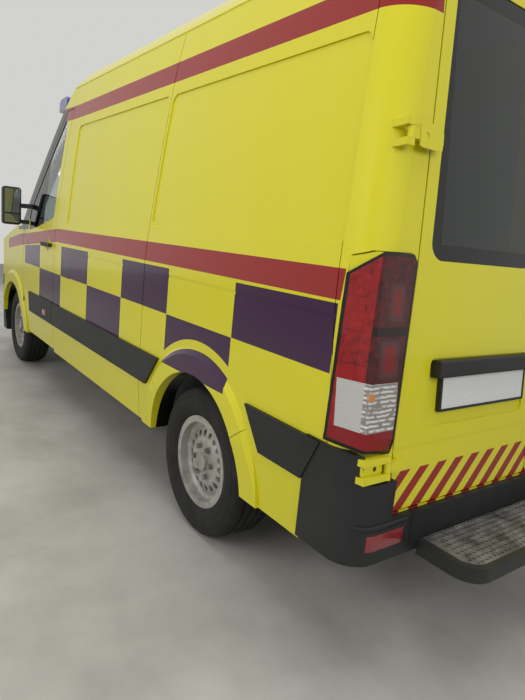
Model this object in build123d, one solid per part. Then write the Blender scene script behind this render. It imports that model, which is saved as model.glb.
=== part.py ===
from build123d import *
import os
from math import atan2, cos, radians, sin, sqrt, tan

os.makedirs("parts", exist_ok=True)

# High-roof van ambulance. Millimetres, X forward, Y left, Z up.
# It is drawn from the rear axle and the ground, then moved so that X 0 is mid length.

# Main sizes
wheelbase = 3670
front_overhang = 1015
rear_overhang = 1065
step_reach = 235
half_width = 1016
roof_height = 2645
mirror_half_width = 1213
sill_height = 385

# Wheels, for a 235/65 R16 tyre on a 6.5 inch rim
tyre_radius = 356
tyre_width = 235
rim_radius = 203
rim_width = 165
front_track = 1712
rear_track = 1718
steering_lock = 35

# Walls and gaps
wall = 105
door_skin = 19
seal_gap = 6
panel_gap = 6
glass_thickness = 6
glass_inset = 4
running_gap = 0.3
bonnet_gap = 9.5
flare_gap = 17

# Stations along the body, from the rear axle
bumper_face = -rear_overhang
b_pillar = 2302
door_front = 3300
nose = wheelbase + front_overhang
mid_length = (nose + bumper_face - step_reach) / 2

# Levels
floor_top = 672
floor_bottom = 560
belt_height = 1345
groove_height = 2397

# Rear face: its place at one height, and how far it leans forward
rear_face = -1006
rear_face_level = 950
rear_lean = 5.2

# Windscreen: middle of its base, rake from level, and how far its edges fall back
screen_base = 3560
screen_base_height = 1330
screen_rake = 46.5
screen_fall_back = 140

# Wheel arches
arch_radius = 430
flare_radius = 545
flare_lift = 16
flare_slope = 2


def across(face, y_from, y_to):
    """Extrudes a side view, drawn as X and Z, from one Y to another."""
    plane = Plane(origin=(0, y_from, 0), x_dir=(1, 0, 0), z_dir=(0, -1, 0))
    return extrude(plane * face, amount=y_to - y_from, dir=(0, 1, 0))


def along(face, x_from, x_to):
    """Extrudes a cross-section, drawn as Y and Z, from one X to another."""
    plane = Plane(origin=(x_from, 0, 0), x_dir=(0, 1, 0), z_dir=(1, 0, 0))
    return extrude(plane * face, amount=x_to - x_from, dir=(1, 0, 0))


def upward(face, z_from, z_to):
    """Extrudes a plan, drawn as X and Y, from one Z to another."""
    return extrude(Pos(0, 0, z_from) * face, amount=z_to - z_from, dir=(0, 0, 1))


def block(x_from, x_to, y_from, y_to, z_from, z_to):
    """A box between two corners."""
    size = (x_to - x_from, y_to - y_from, z_to - z_from)
    return Pos(x_from, y_from, z_from) * Box(*size, align=(Align.MIN, Align.MIN, Align.MIN))


def mirrored(shape):
    """The same piece on the other side of the vehicle."""
    return mirror(shape, about=Plane.XZ)


def grown(face, amount):
    """An outline moved outwards, or inwards when the amount is negative."""
    return offset(face, amount=amount, kind=Kind.INTERSECTION)


def outline(points, radius=0):
    """A closed outline through points, with its corners rounded."""
    face = Polygon(*points, align=None)
    return fillet(face.vertices(), radius) if radius else face


def rear_x(z):
    """Where the rear face is at a height."""
    return rear_face + (z - rear_face_level) * tan(radians(rear_lean))


# Body shape

# Half cross-section, columns: half width, height. The last leads into the roof.
side_points = [(975, 100), (half_width, 600), (1013, 1250), (1006, belt_height)]
upper_side = [(1006, belt_height), (963, 1730), (888, 2240)]
groove_half_width = 852
roof_flat = 520
roof_flat_height = 2615
below_ground = -300


def section_face():
    half = [
        Polyline((0, below_ground), (side_points[0][0], below_ground), *side_points),
        ThreePointArc(*upper_side),
        Line(upper_side[-1], (groove_half_width, groove_height)),
    ]
    roof_slope = atan2(2 * (roof_height - roof_flat_height), roof_flat)
    corner = TangentArc(
        (roof_flat, roof_flat_height),
        (groove_half_width, groove_height),
        tangent=(cos(roof_slope), -sin(roof_slope)),
    )
    crown = TangentArc(
        (0, roof_height), (roof_flat, roof_flat_height), tangent=(1, 0)
    )
    left = make_face([*half[0].edges(), *half[1].edges(), *half[2].edges(),
                      *corner.edges(), *crown.edges(),
                      *Line((0, roof_height), (0, below_ground)).edges()])
    return left + mirror(left, about=Plane.YZ)


# Side view of the body, columns: X, Z
roof_rear_radius_start = 2390
roof_back = -610
roof_clear = roof_height + 15
cab_slope_start = 1800
cab_slope_end = (2500, 2419)
bonnet_middle = (4180, 1165)
bonnet_edge = (4560, 1000)
shelf = 2


def rear_side_face(front_x):
    """The side view of the rear face and roof, up to a line through the windscreen's base."""
    rear_bottom = (rear_x(below_ground), below_ground)
    rear_top = (rear_x(roof_rear_radius_start), roof_rear_radius_start)
    lean = (sin(radians(rear_lean)), cos(radians(rear_lean)))
    cab_slope = TangentArc((cab_slope_start, roof_clear), cab_slope_end, tangent=(1, 0))
    end = cab_slope % 1
    front_z = cab_slope_end[1] + (front_x - cab_slope_end[0]) * end.Y / end.X
    return make_face([
        *Line(rear_bottom, rear_top).edges(),
        *TangentArc(rear_top, (roof_back, roof_clear), tangent=lean).edges(),
        *Line((roof_back, roof_clear), (cab_slope_start, roof_clear)).edges(),
        *cab_slope.edges(),
        *Polyline(cab_slope_end, (front_x, front_z), (front_x, below_ground), rear_bottom).edges(),
    ])


def nose_side_face():
    """The side view of the bonnet and nose, carried on behind the windscreen's base."""
    slope = (bonnet_middle[0] - screen_base, bonnet_middle[1] - screen_base_height)
    behind_x = screen_base - 500
    start = (behind_x, screen_base_height - 500 * slope[1] / slope[0])
    bottom = [(nose - 20, 850), (nose, 640), (nose, below_ground), (behind_x, below_ground)]
    return make_face([
        *Line(start, bonnet_middle).edges(),
        *TangentArc(bonnet_middle, bonnet_edge, tangent=slope).edges(),
        *Polyline(bonnet_edge, *bottom, start).edges(),
    ])


# Plan of the nose, columns: X, half width
nose_flat = (4600, 600)
nose_corner = (4250, 985)
nose_side = (4067, 1020)
plan_rear = -1400


def plan_face():
    front = TangentArc((nose, 0), nose_flat, tangent=(0, 1))
    corner = TangentArc(nose_flat, nose_corner, tangent=front % 1)
    side = TangentArc(nose_corner, nose_side, tangent=corner % 1)
    tail = Polyline(nose_side, (plan_rear, nose_side[1]), (plan_rear, 0), (nose, 0))
    left = make_face([*front.edges(), *corner.edges(), *side.edges(), *tail.edges()])
    return left + mirror(left, about=Plane.XZ)


def screen_back(inset):
    """How far back the windscreen's base moves when the body's faces move in by an inset."""
    return inset / sin(radians(screen_rake)) - inset / tan(radians(screen_rake))


def screen_cutter(inset):
    """What lies in front of the windscreen's curved surface, moved in by an inset."""
    reach = 1100
    fall = screen_fall_back * (reach / 950) ** 2
    front = nose + 300
    x_mid = screen_base - screen_back(inset)
    face = make_face([
        *ThreePointArc((x_mid - fall, -reach), (x_mid, 0), (x_mid - fall, reach)).edges(),
        *Polyline((x_mid - fall, reach), (front, reach), (front, -reach), (x_mid - fall, -reach)).edges(),
    ])
    rake = (-cos(radians(screen_rake)), 0, sin(radians(screen_rake)))
    return extrude(Pos(0, 0, screen_base_height - inset) * face, amount=2200, dir=rake)


# Rear corners, rounded in plan at every height
corner_radius = 130
corner_step = 0.8
corner_levels = (below_ground - 150, 100, 600, 1250, belt_height, 1560, 1780, 2010, 2240, 2700)


def side_at(z):
    """The body's half width at a height, and the slope of its side there."""
    (y_low, z_low), (y_mid, z_mid), (y_high, z_high) = upper_side
    if z >= z_high:
        slope = (upper_side[-1][0] - groove_half_width) / (groove_height - z_high)
        return y_high - slope * (z - z_high), slope
    if z > z_low:
        edge = ThreePointArc(*upper_side).edge()
        cut = edge.intersect(Line((0, z), (2000, z)))
        point = cut.vertex() if hasattr(cut, "vertex") else cut
        slope = (y_low - y_high) / (z_high - z_low)
        return point.X, slope
    for (y_a, z_a), (y_b, z_b) in zip(side_points, side_points[1:]):
        if z <= z_b:
            slope = (y_a - y_b) / (z_b - z_a)
            return y_b + slope * (z_b - z), slope
    return side_points[-1][0], 0


def corner_cutter(inset):
    """What lies outside the rounded rear corners, with the body's faces moved in by an inset."""
    radius = corner_radius - inset
    reach = radius + corner_step
    sections = []
    for z in corner_levels:
        half, slope = side_at(z)
        y_side = half - inset * sqrt(1 + slope ** 2)
        x_rear = rear_x(z) + inset / cos(radians(rear_lean))
        centre = (x_rear + radius, y_side - radius)
        middle = (centre[0] - reach * cos(radians(45)), centre[1] + reach * sin(radians(45)))
        start = (centre[0], centre[1] + reach)
        end = (centre[0] - reach, centre[1])
        face = make_face([
            *ThreePointArc(start, middle, end).edges(),
            *Polyline(end, (x_rear - 80, end[1]), (x_rear - 80, y_side + 80), (start[0], y_side + 80), start).edges(),
        ])
        sections.append(Pos(0, 0, z) * face)
    left = loft(sections, ruled=True)
    return left + mirrored(left)


def body_shape(inset, rounded=True):
    """The closed outer shape of the body, with all its faces moved in by an inset."""
    front_x = screen_base + shelf + inset - screen_back(inset)
    faces = [rear_side_face(front_x), nose_side_face(), section_face(), plan_face()]
    if inset:
        faces = [grown(face, -inset) for face in faces]
    rear_side, nose_side, section, plan = faces
    side = across(rear_side + nose_side, -1200, 1200)
    shape = side & along(section, -1500, nose + 100) & upward(plan, -400, 2800)
    if rounded and inset < corner_radius - 30:
        shape -= corner_cutter(inset)
    return shape - screen_cutter(inset)


outer = body_shape(0)
skin_back = body_shape(door_skin)
seal_face = body_shape(door_skin + seal_gap)
lining = body_shape(wall)


# Wheel arches, as circles in side view
arches = [Pos(x, tyre_radius) * Circle(arch_radius) for x in (0, wheelbase)]
flares = [Pos(x, tyre_radius) * Circle(flare_radius) for x in (0, wheelbase)]

# Cab door and its window in side view, columns: X, Z
door_rear = b_pillar + panel_gap / 2
door_outline = outline([
    (door_rear, sill_height + 20),
    (door_rear, 2235),
    (2450, 2235),
    (3235, 1415),
    (door_front, 1290),
    (door_front, sill_height + 20),
]) - Pos(wheelbase, tyre_radius) * Circle(flare_radius + flare_gap - panel_gap / 2)
window_outline = outline([
    (2392, 1430), (2392, 2130), (2452, 2165), (3128, 1455), (3105, 1305), (2880, 1335), (2560, 1392),
], 22)

# Rear door and its glass seen from behind, columns: half width, Z
rear_gap = 2
rear_sill = 565
rear_outline = outline([
    (rear_gap / 2, rear_sill),
    (838, rear_sill),
    (838, 800),
    (782, 1390),
    (732, 2380),
    (650, 2470),
    (rear_gap / 2, 2470),
])
rear_window = outline([(95, 1400), (722, 1400), (682, 2290), (95, 2290)], 60)

# Sliding door on the right in side view
slide_rear = 990
slide_front = b_pillar - 60
slide_outline = outline([
    (slide_rear, 430), (slide_front, 430), (slide_front, 2240), (slide_rear, 2240),
], 50)

inner_step = 25
frame_step = 13
wide = 1200


def rear_slab(face, x_from=-1300, x_to=-700):
    """A cutter for the rear doors from a rear view."""
    return along(face, x_from, x_to)


def behind_rear_line(offset_x):
    """Everything behind a plane that leans like the rear face."""
    face = Polygon(
        (rear_x(-400) + offset_x, -400), (rear_x(2900) + offset_x, 2900), (-1800, 2900), (-1800, -400),
        align=None,
    )
    return across(face, -wide, wide)


rear_corner = 125
shell = outer - lining
skin = outer - skin_back
door_core = seal_face - lining
seal_band = skin_back - seal_face


def hung(prism_at, face, extra=None):
    """A hung panel: an outer skin over the frame and a thicker core inside the opening."""
    outside = skin & prism_at(grown(face, -panel_gap / 2))
    inside = door_core & prism_at(grown(face, -inner_step))
    bridge = seal_band & prism_at(grown(face, -inner_step))
    return outside + inside + bridge


def opening(prism_at, face):
    """What a hung panel needs cut out of the body."""
    outside = prism_at(grown(face, panel_gap / 2)) - seal_face
    return outside, prism_at(grown(face, -frame_step))


def left_side(face):
    return across(face, 300, wide)


def right_side(face):
    return across(face, -wide, -300)


nodes = {}

# Body sides, roof and rear frame
behind = behind_rear_line(rear_corner)
rear_arch = across(arches[0], -wide, wide)
side_zone = block(-1100, b_pillar - panel_gap / 2 + 3, 300, wide, sill_height, groove_height)
side_left = (shell & side_zone) - behind - rear_arch
side_right = mirrored(side_left)
for cutter in opening(right_side, slide_outline):
    side_right -= cutter
nodes["side_left"] = side_left
nodes["side_right"] = side_right
nodes["sliding_door"] = hung(right_side, slide_outline)

roof_zone = block(-1100, 3700, -wide, wide, groove_height, 2800)
nodes["roof"] = (shell & roof_zone) - behind
rear_frame = (shell & behind & block(-1300, -500, -wide, wide, rear_sill - 60, 2800))
for face in (rear_outline, mirror(rear_outline, about=Plane.YZ)):
    for cutter in opening(rear_slab, face):
        rear_frame -= cutter
rear_frame -= rear_slab(Pos(0, (rear_sill + 2470) / 2) * Rectangle(300, 2470 - rear_sill - 2 * frame_step))
nodes["rear_frame"] = rear_frame

# Rear doors with their glass
rear_leaf = hung(rear_slab, rear_outline)
rear_leaf -= rear_slab(rear_window)
rear_pane = (body_shape(glass_inset) - body_shape(glass_inset + glass_thickness)) & rear_slab(rear_window)
nodes["rear_door_left"] = rear_leaf
nodes["rear_door_right"] = mirrored(rear_leaf)
nodes["rear_glass_left"] = rear_pane
nodes["rear_glass_right"] = mirrored(rear_pane)

# Cab doors
hinge_x = door_front - 60
hinge_y = half_width - 15
core_front = hinge_x - 30
front_gap = 8
edge_sheet = 3
sweep_radius = 64.5
door_sweep = Pos(hinge_x, hinge_y, 1030) * Cylinder(sweep_radius, 790) & body_shape(edge_sheet)
core_cut = block(core_front, 3400, 300, wide, 300, belt_height + 45) - skin
cab_door = hung(left_side, door_outline) - core_cut
cab_door -= left_side(window_outline)
pane = (body_shape(glass_inset) - body_shape(glass_inset + glass_thickness)) & left_side(window_outline)
nodes["cab_door_left"] = cab_door
nodes["cab_door_right"] = mirrored(cab_door)
nodes["cab_glass_left"] = pane
nodes["cab_glass_right"] = mirrored(pane)

# Cab frame: pillars, windscreen header, hinge posts, firewall and cowl
cab_zone = block(b_pillar + panel_gap / 2, door_front + front_gap - 3, -wide, wide, 1300, groove_height)
cab_zone += block(door_front, 3700, -wide, wide, belt_height, groove_height)
screen_outline = outline([(905, 1372), (778, 2275), (-778, 2275), (-905, 1372)], 40)
screen_hole = along(screen_outline, 2385, nose)
front_wheel_space = across(Pos(wheelbase, tyre_radius) * Circle(arch_radius + 10), -wide, wide)
cab_frame = (shell & cab_zone) - screen_hole
post_zone = block(core_front + 14, door_front + 110, -wide, wide, 600, 1300)
cab_frame += (seal_face - lining) & post_zone
firewall_x = 3235
cab_inside = body_shape(wall + 10)
cab_frame += cab_inside & block(firewall_x, firewall_x + 30, -wide, wide, floor_bottom - 40, 1300)
cab_frame += block(firewall_x + 30, 3530, -850, 850, 1225, 1250)
for side_cut in (left_side, right_side):
    outside, inside = opening(side_cut, door_outline)
    cab_frame -= outside
    cab_frame -= Pos(front_gap - panel_gap, 0, 0) * outside
    cab_frame -= inside & block(2000, core_front + 14, -wide, wide, 300, 2400)
    cab_frame -= inside & block(2000, 3400, -wide, wide, belt_height + 60, 2400)
cab_frame -= door_sweep + mirrored(door_sweep)
cab_frame -= front_wheel_space
nodes["cab_frame"] = cab_frame
nodes["windscreen"] = (body_shape(glass_inset) - body_shape(glass_inset + glass_thickness)) & screen_hole

# Wings, bonnet, bumper and lamps, all cut from one front skin
front_skin_zone = block(door_front + front_gap - 3, nose + 50, -wide, wide, sill_height, belt_height)
front_skin_zone += across(flares[1], -wide, wide) & block(2900, wheelbase, -wide, wide, sill_height, 1000)
front_skin = (outer - seal_face) & front_skin_zone
front_skin -= screen_cutter(0)


# Bonnet in plan, columns: X, half width
bonnet_rear_mid = 3660
bonnet_rear = (3520, 780)
bonnet_side = (4300, 700)
bonnet_front = (4505, 560)
bonnet_front_mid = 4575


def bonnet_face(inset):
    """The bonnet's outline in plan, with its edges moved in by an inset."""
    rise = bonnet_rear_mid - bonnet_rear[0]
    radius = (bonnet_rear[1] ** 2 + rise ** 2) / (2 * rise)
    half = bonnet_rear[1] - inset
    rear_x_at_half = bonnet_rear_mid - radius + sqrt((radius + inset) ** 2 - half ** 2)
    side = (bonnet_side[0], bonnet_side[1] - inset)
    front_x, front_half = bonnet_front[0] - inset, bonnet_front[1] - inset
    rear_mid, front_mid = bonnet_rear_mid + inset, bonnet_front_mid - inset
    return make_face([
        *ThreePointArc((rear_x_at_half, half), (rear_mid, 0), (rear_x_at_half, -half)).edges(),
        *Polyline((rear_x_at_half, -half), (side[0], -side[1]), (front_x, -front_half)).edges(),
        *ThreePointArc((front_x, -front_half), (front_mid, 0), (front_x, front_half)).edges(),
        *Polyline((front_x, front_half), side, (rear_x_at_half, half)).edges(),
    ])


bonnet_space = upward(bonnet_face(-bonnet_gap / 2), 1002, 1400)
bumper_top = 815
bumper_bottom = 235
bumper_rear = 4090
lamp_outline = outline([(475, 905), (560, 1003), (990, 1120), (1015, 1010), (905, 868), (620, 850)], 14)
lamp_prism = along(lamp_outline, 4140, nose + 50)
lamp_prism += mirrored(lamp_prism)
grille_outline = outline([(-430, 1000), (430, 1000), (470, 900), (330, 620), (-330, 620), (-470, 900)], 25)
grille_prism = along(grille_outline, 4300, nose + 50)
bonnet = front_skin & upward(bonnet_face(bonnet_gap / 2), 1008, 1400)
# The rear corners are cut off, to clear the cowl while the bonnet opens
corner_x = bonnet_rear[0] + 6
corner_y = bonnet_rear[1] - bonnet_gap / 2
for side in (1, -1):
    bonnet -= Pos(corner_x, side * corner_y, 1300) * Rot(0, 0, 45) * Box(9, 9, 200)
nodes["bonnet"] = bonnet
cowl_space = block(3300, 3665, -815, 815, 1200, 1400)
nodes["cowl"] = (front_skin & cowl_space) - bonnet_space
wings = front_skin - bonnet_space - cowl_space
wings -= door_sweep + mirrored(door_sweep)
wings -= lamp_prism
wings -= block(bumper_rear, nose + 50, -wide, wide, 0, bumper_top)
wings -= grille_prism
wings -= across(arches[1], -wide, wide)
nodes["wings"] = wings
deep_front = outer - body_shape(60)
nodes["headlamps"] = deep_front & lamp_prism
bumper = deep_front & block(bumper_rear, nose + 50, -wide, wide, bumper_bottom, bumper_top)
bumper -= grille_prism
bumper -= lamp_prism
bumper -= across(Pos(wheelbase, tyre_radius) * Circle(arch_radius + 10), -wide, wide)
intake_outline = outline([(-400, 380), (400, 380), (470, 540), (-470, 540)], 20)
bumper -= along(intake_outline, 4300, nose + 50)
nodes["front_bumper"] = bumper
grille_back = body_shape(50)
grille = ((outer - grille_back) & grille_prism) - along(grown(grille_outline, -28), 4300, nose + 50)
for level in (690, 770, 850, 930):
    bar = Pos(0, level) * Rectangle(940, 26)
    grille += (body_shape(8) - grille_back) & along(bar & grille_outline, 4300, nose + 50)
nodes["grille"] = grille

# Flares round the arches
flare_shape = body_shape(-flare_lift)
flare_band = flare_shape - outer
cone_start = 300
cone_end = half_width + 60
flare_seams = (36, 144)
flare_cones = []
for x in (0, wheelbase):
    cone = Cone(
        flare_radius + flare_slope * (half_width - cone_start), flare_radius + flare_slope * (half_width - cone_end),
        cone_end - cone_start,
        align=(Align.CENTER, Align.CENTER, Align.MIN),
    )
    left_cone = Pos(x, cone_start, tyre_radius) * Rot(-90, 0, 0) * cone
    flare_cones.append(left_cone + mirrored(left_cone))
for name, index, zone in (
    ("side_left", 0, block(-1400, 2000, 300, wide, sill_height, 1400)),
    ("side_right", 0, block(-1400, 2000, -wide, -300, sill_height, 1400)),
    ("wings", 1, block(2500, bumper_rear, -wide, wide, sill_height, 1400)),
):
    ring = (flare_cones[index] & across(flares[index], -wide, wide)) - across(arches[index], -wide, wide)
    for angle in flare_seams:
        slot = Rot(0, -angle, 0) * Pos((arch_radius + flare_radius) / 2, 0, 0) * Box(240, 2 * wide, 3)
        ring -= Pos(index * wheelbase, 0, tyre_radius) * slot
    nodes[name] += flare_band & ring & zone

# The door's lower front corner turns close past the flare, so the wing is cut back round it
corner_sweep_radius = 22
corner_sweep = Pos(hinge_x, hinge_y, 690) * Cylinder(corner_sweep_radius, 110)
nodes["wings"] -= corner_sweep + mirrored(corner_sweep)

# Floor with rear wheelhouses
house_inner = 690
house_wall = 14
cab_floor_drop = 72
bulkhead_x = 2180
board = 12
board_gap = 8
floor = lining & block(-1100, bulkhead_x, -wide, wide, floor_bottom, floor_top - board)
floor += body_shape(wall + board_gap) & block(-1100, bulkhead_x, -wide, wide, floor_top - board, floor_top)
floor -= behind
floor -= behind_rear_line(rear_corner + board_gap) & block(-1300, -500, -wide, wide, floor_top - board, 2700)
cab_floor_half = half_width - wall - 16
cab_floor = floor_top - cab_floor_drop
floor += block(bulkhead_x, firewall_x, -cab_floor_half, cab_floor_half, floor_bottom - 40, cab_floor)
for side in (1, -1):
    y_from, y_to = sorted((side * house_inner, side * 1000))
    y_in, y_out = sorted((side * (house_inner + house_wall), side * 1000))
    house = across(Pos(0, tyre_radius) * Circle(arch_radius + house_wall), y_from, y_to)
    floor += house & lining & block(-600, 600, -wide, wide, floor_bottom, 900)
    floor -= across(arches[0], y_in, y_out)
nodes["floor"] = floor

# Bulkhead behind the seats
bulkhead = lining & block(bulkhead_x, bulkhead_x + 30, -wide, wide, cab_floor, 2700)
bulkhead -= along(outline([(-350, 1450), (350, 1450), (350, 1950), (-350, 1950)], 40), 2000, 2400)
nodes["bulkhead"] = bulkhead

# Dashboard, steering wheel and seats
dash_outline = outline([(3235, 900), (3235, 1265), (3120, 1290), (2930, 1220), (2900, 1120), (2960, 1060), (3000, 900)], 20)
nodes["dashboard"] = across(dash_outline, -860, 860) & cab_inside
wheel_centre = (2800, 430, 1180)
column_angle = 40
steering_wheel = Pos(*wheel_centre) * Rot(0, -(90 - column_angle), 0) * (
    Torus(195, 15) + Cylinder(60, 40) + Box(390, 40, 16) + Pos(0, 0, -110) * Cylinder(28, 220)
)
nodes["dashboard"] += steering_wheel


def seat(y_middle, width):
    base = block(2330, 2760, y_middle - width / 2 + 40, y_middle + width / 2 - 40, cab_floor, 880)
    cushion = fillet(block(2330, 2800, y_middle - width / 2, y_middle + width / 2, 880, 1010).edges(), 30)
    back_side = outline([(2330, 1010), (2450, 1010), (2330, 1640), (2230, 1640)], 25)
    back = across(back_side, y_middle - width / 2, y_middle + width / 2)
    head_side = outline([(2235, 1655), (2320, 1655), (2300, 1850), (2222, 1850)], 25)
    head = across(head_side, y_middle - 140, y_middle + 140)
    post = across(outline([(2262, 1600), (2286, 1600), (2276, 1700), (2252, 1700)]), y_middle - 60, y_middle + 60)
    return base + cushion + back + head + post


nodes["seats"] = seat(440, 520) + seat(-430, 520)

# Wheels, drawn with the axle along Z and the outer side up
tyre_profile = Polygon(
    (rim_radius, -87.7), (220.3, -87.7), (220.3, -98), (234, -108), (282, -tyre_width / 2), (334, -110),
    (352, -92), (tyre_radius, -60), (tyre_radius, 60), (352, 92), (334, 110), (282, tyre_width / 2),
    (234, 108), (220.3, 98), (220.3, 87.7), (rim_radius, 87.7),
    align=None,
)
rim_profile = Polygon(
    (rim_radius, -88), (220, -88), (220, -98), (190, -98), (182, -60), (182, 20), (165, 34), (100, 62), (0, 62),
    (0, 76), (100, 76), (170, 50), (188, 60), (190, 98), (220, 98), (220, 88), (rim_radius, 88),
    align=None,
)
hub_radius = 62
spindle_radius = 26
vent_count = 18
vent_radius = 13
bolt_count = 6
bolt_circle = 75


def rim_shape():
    shape = revolve(Plane.XZ * rim_profile, Axis.Z)
    shape += Pos(0, 0, 20) * Cylinder(hub_radius, 90)
    for angle in range(0, 360, 360 // vent_count):
        shape -= Rot(0, 0, angle) * Pos(136, 0, 55) * Rot(0, -20, 0) * Cylinder(vent_radius, 60)
    for angle in range(0, 360, 360 // bolt_count):
        shape += Rot(0, 0, angle) * Pos(bolt_circle, 0, 82) * Cylinder(11, 22)
    shape += Pos(0, 0, 84) * Cylinder(42, 20)
    shape -= Pos(0, 0, 10) * Cylinder(spindle_radius + running_gap, 80)
    return shape


def at_wheel(shape, x, y):
    """Turns a wheel piece outwards and puts it at an axle end."""
    placed = Pos(x, abs(y), tyre_radius) * Rot(-90, 0, 0) * shape
    return placed if y > 0 else mirrored(placed)


rim = rim_shape()
tyre = revolve(Plane.XZ * tyre_profile, Axis.Z)
corners = {
    "front_left": (wheelbase, front_track / 2),
    "front_right": (wheelbase, -front_track / 2),
    "rear_left": (0, rear_track / 2),
    "rear_right": (0, -rear_track / 2),
}
for corner, (x, y) in corners.items():
    nodes[f"rim_{corner}"] = at_wheel(rim, x, y)
    nodes[f"tyre_{corner}"] = at_wheel(tyre, x, y)

# Knuckles on a leaning steering axis
ball_joint = (770, 232)
knuckle_radius = 24
strut_top = (655, 880)


def kingpin_y(z):
    """How far out the steering axis is at a height."""
    slope = (strut_top[0] - ball_joint[0]) / (strut_top[1] - ball_joint[1])
    return ball_joint[0] + slope * (z - ball_joint[1])


def rod(start, end, radius):
    """A round bar between two points."""
    span = Vector(*end) - Vector(*start)
    return Plane(origin=start, z_dir=span) * Cylinder(radius, span.length, align=(Align.CENTER, Align.CENTER, Align.MIN))


def kingpin(z):
    return (wheelbase, kingpin_y(z), z)


wheel_y = front_track / 2
knuckle = rod((wheelbase, kingpin_y(tyre_radius) - 20, tyre_radius), (wheelbase, wheel_y + 48, tyre_radius), spindle_radius)
knuckle += rod((wheelbase, kingpin_y(tyre_radius) - 30, tyre_radius), (wheelbase, wheel_y - 36, tyre_radius), 50)
knuckle += rod(kingpin(ball_joint[1]), kingpin(430), knuckle_radius)
nodes["knuckle_left"] = knuckle
nodes["knuckle_right"] = mirrored(knuckle)

# Front suspension: struts, lower arms and crossmember
strut = rod(kingpin(430 + running_gap), kingpin(815), 26)
arm_side = [(wheelbase - 150, 330), (wheelbase + 150, 330), (wheelbase + 30, ball_joint[0] + 25), (wheelbase - 30, ball_joint[0] + 25)]
arm = upward(outline(arm_side, 12), 190, ball_joint[1] - 5)
suspension = strut + mirrored(strut) + arm + mirrored(arm)
suspension += block(wheelbase - 160, wheelbase + 160, -370, 370, 170, 240)
for side in (1, -1):
    y_from, y_to = sorted((side * 372, side * 428))
    suspension += block(wheelbase - 60, wheelbase + 60, y_from, y_to, 170, 460)
nodes["front_suspension"] = suspension

# Front wheelhouses and strut towers join the cab frame
for side in (1, -1):
    y_from, y_to = sorted((side * 480, side * 985))
    house = across(
        Pos(wheelbase, tyre_radius) * (Circle(arch_radius + 24) - Circle(arch_radius + 10)), y_from, y_to
    )
    nodes["cab_frame"] += house & seal_face & block(firewall_x, bumper_rear, -wide, wide, 560, 1000)
    tower = Pos(wheelbase, side * strut_top[0], 840) * Cylinder(90, 90)
    nodes["cab_frame"] += tower - front_wheel_space
nodes["cab_frame"] -= nodes["front_suspension"]

# Stampings of the outer skin: recessed wall panels, belt crease, mid seam, flap and roof channel
recess_depth = 7
crease_depth = 3
seam_depth = 8
mid_seam = 617
front_recess = outline([(640, 1372), (2036, 1372), (2089, 2088), (640, 2088)], 35)
rear_recess = outline([(-855, 1424), (594, 1424), (594, 2084), (-773, 2084)], 45)
crease_low, crease_high = 1190, 1202
crease_rear, crease_front = -870, 3140
flap_x, flap_z = 1990, 1071
flap_size = (186, 128)
flap_groove = 4
recess_band = outer - body_shape(recess_depth)
crease_band = outer - body_shape(crease_depth)
seam_band = outer - body_shape(seam_depth)
crease = Polygon(
    (crease_rear, crease_low), (crease_front, crease_low), (crease_front, crease_high), (crease_rear, crease_high),
    align=None,
)
seam = Pos(mid_seam, (sill_height + groove_height) / 2) * Rectangle(panel_gap, groove_height - sill_height)
flap_rim = outline([
    (flap_x + dx * flap_size[0] / 2, flap_z + dz * flap_size[1] / 2)
    for dx, dz in ((-1, -1), (1, -1), (1, 1), (-1, 1))
], 18)
flap_ring = grown(flap_rim, flap_groove) - flap_rim
stamping = recess_band & left_side(front_recess + rear_recess)
stamping += crease_band & left_side(crease)
stamping += seam_band & left_side(seam)
nodes["side_left"] -= stamping + (crease_band & left_side(flap_ring))
for name in ("side_right", "sliding_door"):
    nodes[name] -= mirrored(stamping)
nodes["cab_door_left"] -= crease_band & left_side(crease)
nodes["cab_door_right"] -= mirrored(crease_band & left_side(crease))
channel_radius = 9
channel = along(Pos(groove_half_width, groove_height) * Circle(channel_radius), -1200, 2560)
for name in ("side_left", "side_right", "roof", "rear_frame", "cab_frame"):
    nodes[name] -= channel + mirrored(channel)

# Rear doors: swage line, and the stamped recess for the number plate on the left one
swage = Polygon((5, 768), (836, 768), (836, 782), (5, 782), align=None)
swage_cut = crease_band & rear_slab(swage)
plate_recess = outline([(72, 1074), (674, 1074), (700, 836), (72, 836)], 22)
plate_depth = 9
plate_cut = (outer - body_shape(plate_depth)) & rear_slab(plate_recess)
nodes["rear_door_left"] -= swage_cut + plate_cut
nodes["rear_door_right"] -= mirrored(swage_cut)

# Chassis rails and crossmembers
rail_inner = 370
rail_outer = 430
rail_bottom = 460
rail_top = floor_bottom - 40
rails = None
for side in (1, -1):
    y_from, y_to = sorted((side * rail_inner, side * rail_outer))
    rail = block(-930, 4480, y_from, y_to, rail_bottom, rail_top)
    rail += block(-930, bulkhead_x, y_from, y_to, rail_top, floor_bottom)
    rails = rail if rails is None else rails + rail
for x in (-930, 600, 1400, 2200, 3050, 4420):
    rails += block(x, x + 60, -rail_inner, rail_inner, rail_bottom + 10, rail_top)
jack_stations = (800, 2900)
pad_half = 55
pad_thickness = 6
for x in jack_stations:
    for y in (-(rail_inner + rail_outer) / 2, (rail_inner + rail_outer) / 2):
        rails += Pos(x, y, rail_bottom - pad_thickness / 2) * Box(2 * pad_half, 48, pad_thickness)
tow_eye = (4420, -300, 490)
tow_eye_radius = 11
rails -= Pos(tow_eye[0] + 30, tow_eye[1], tow_eye[2]) * Rot(0, 90, 0) * Cylinder(tow_eye_radius, 80)
nodes["chassis_rails"] = rails

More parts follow.
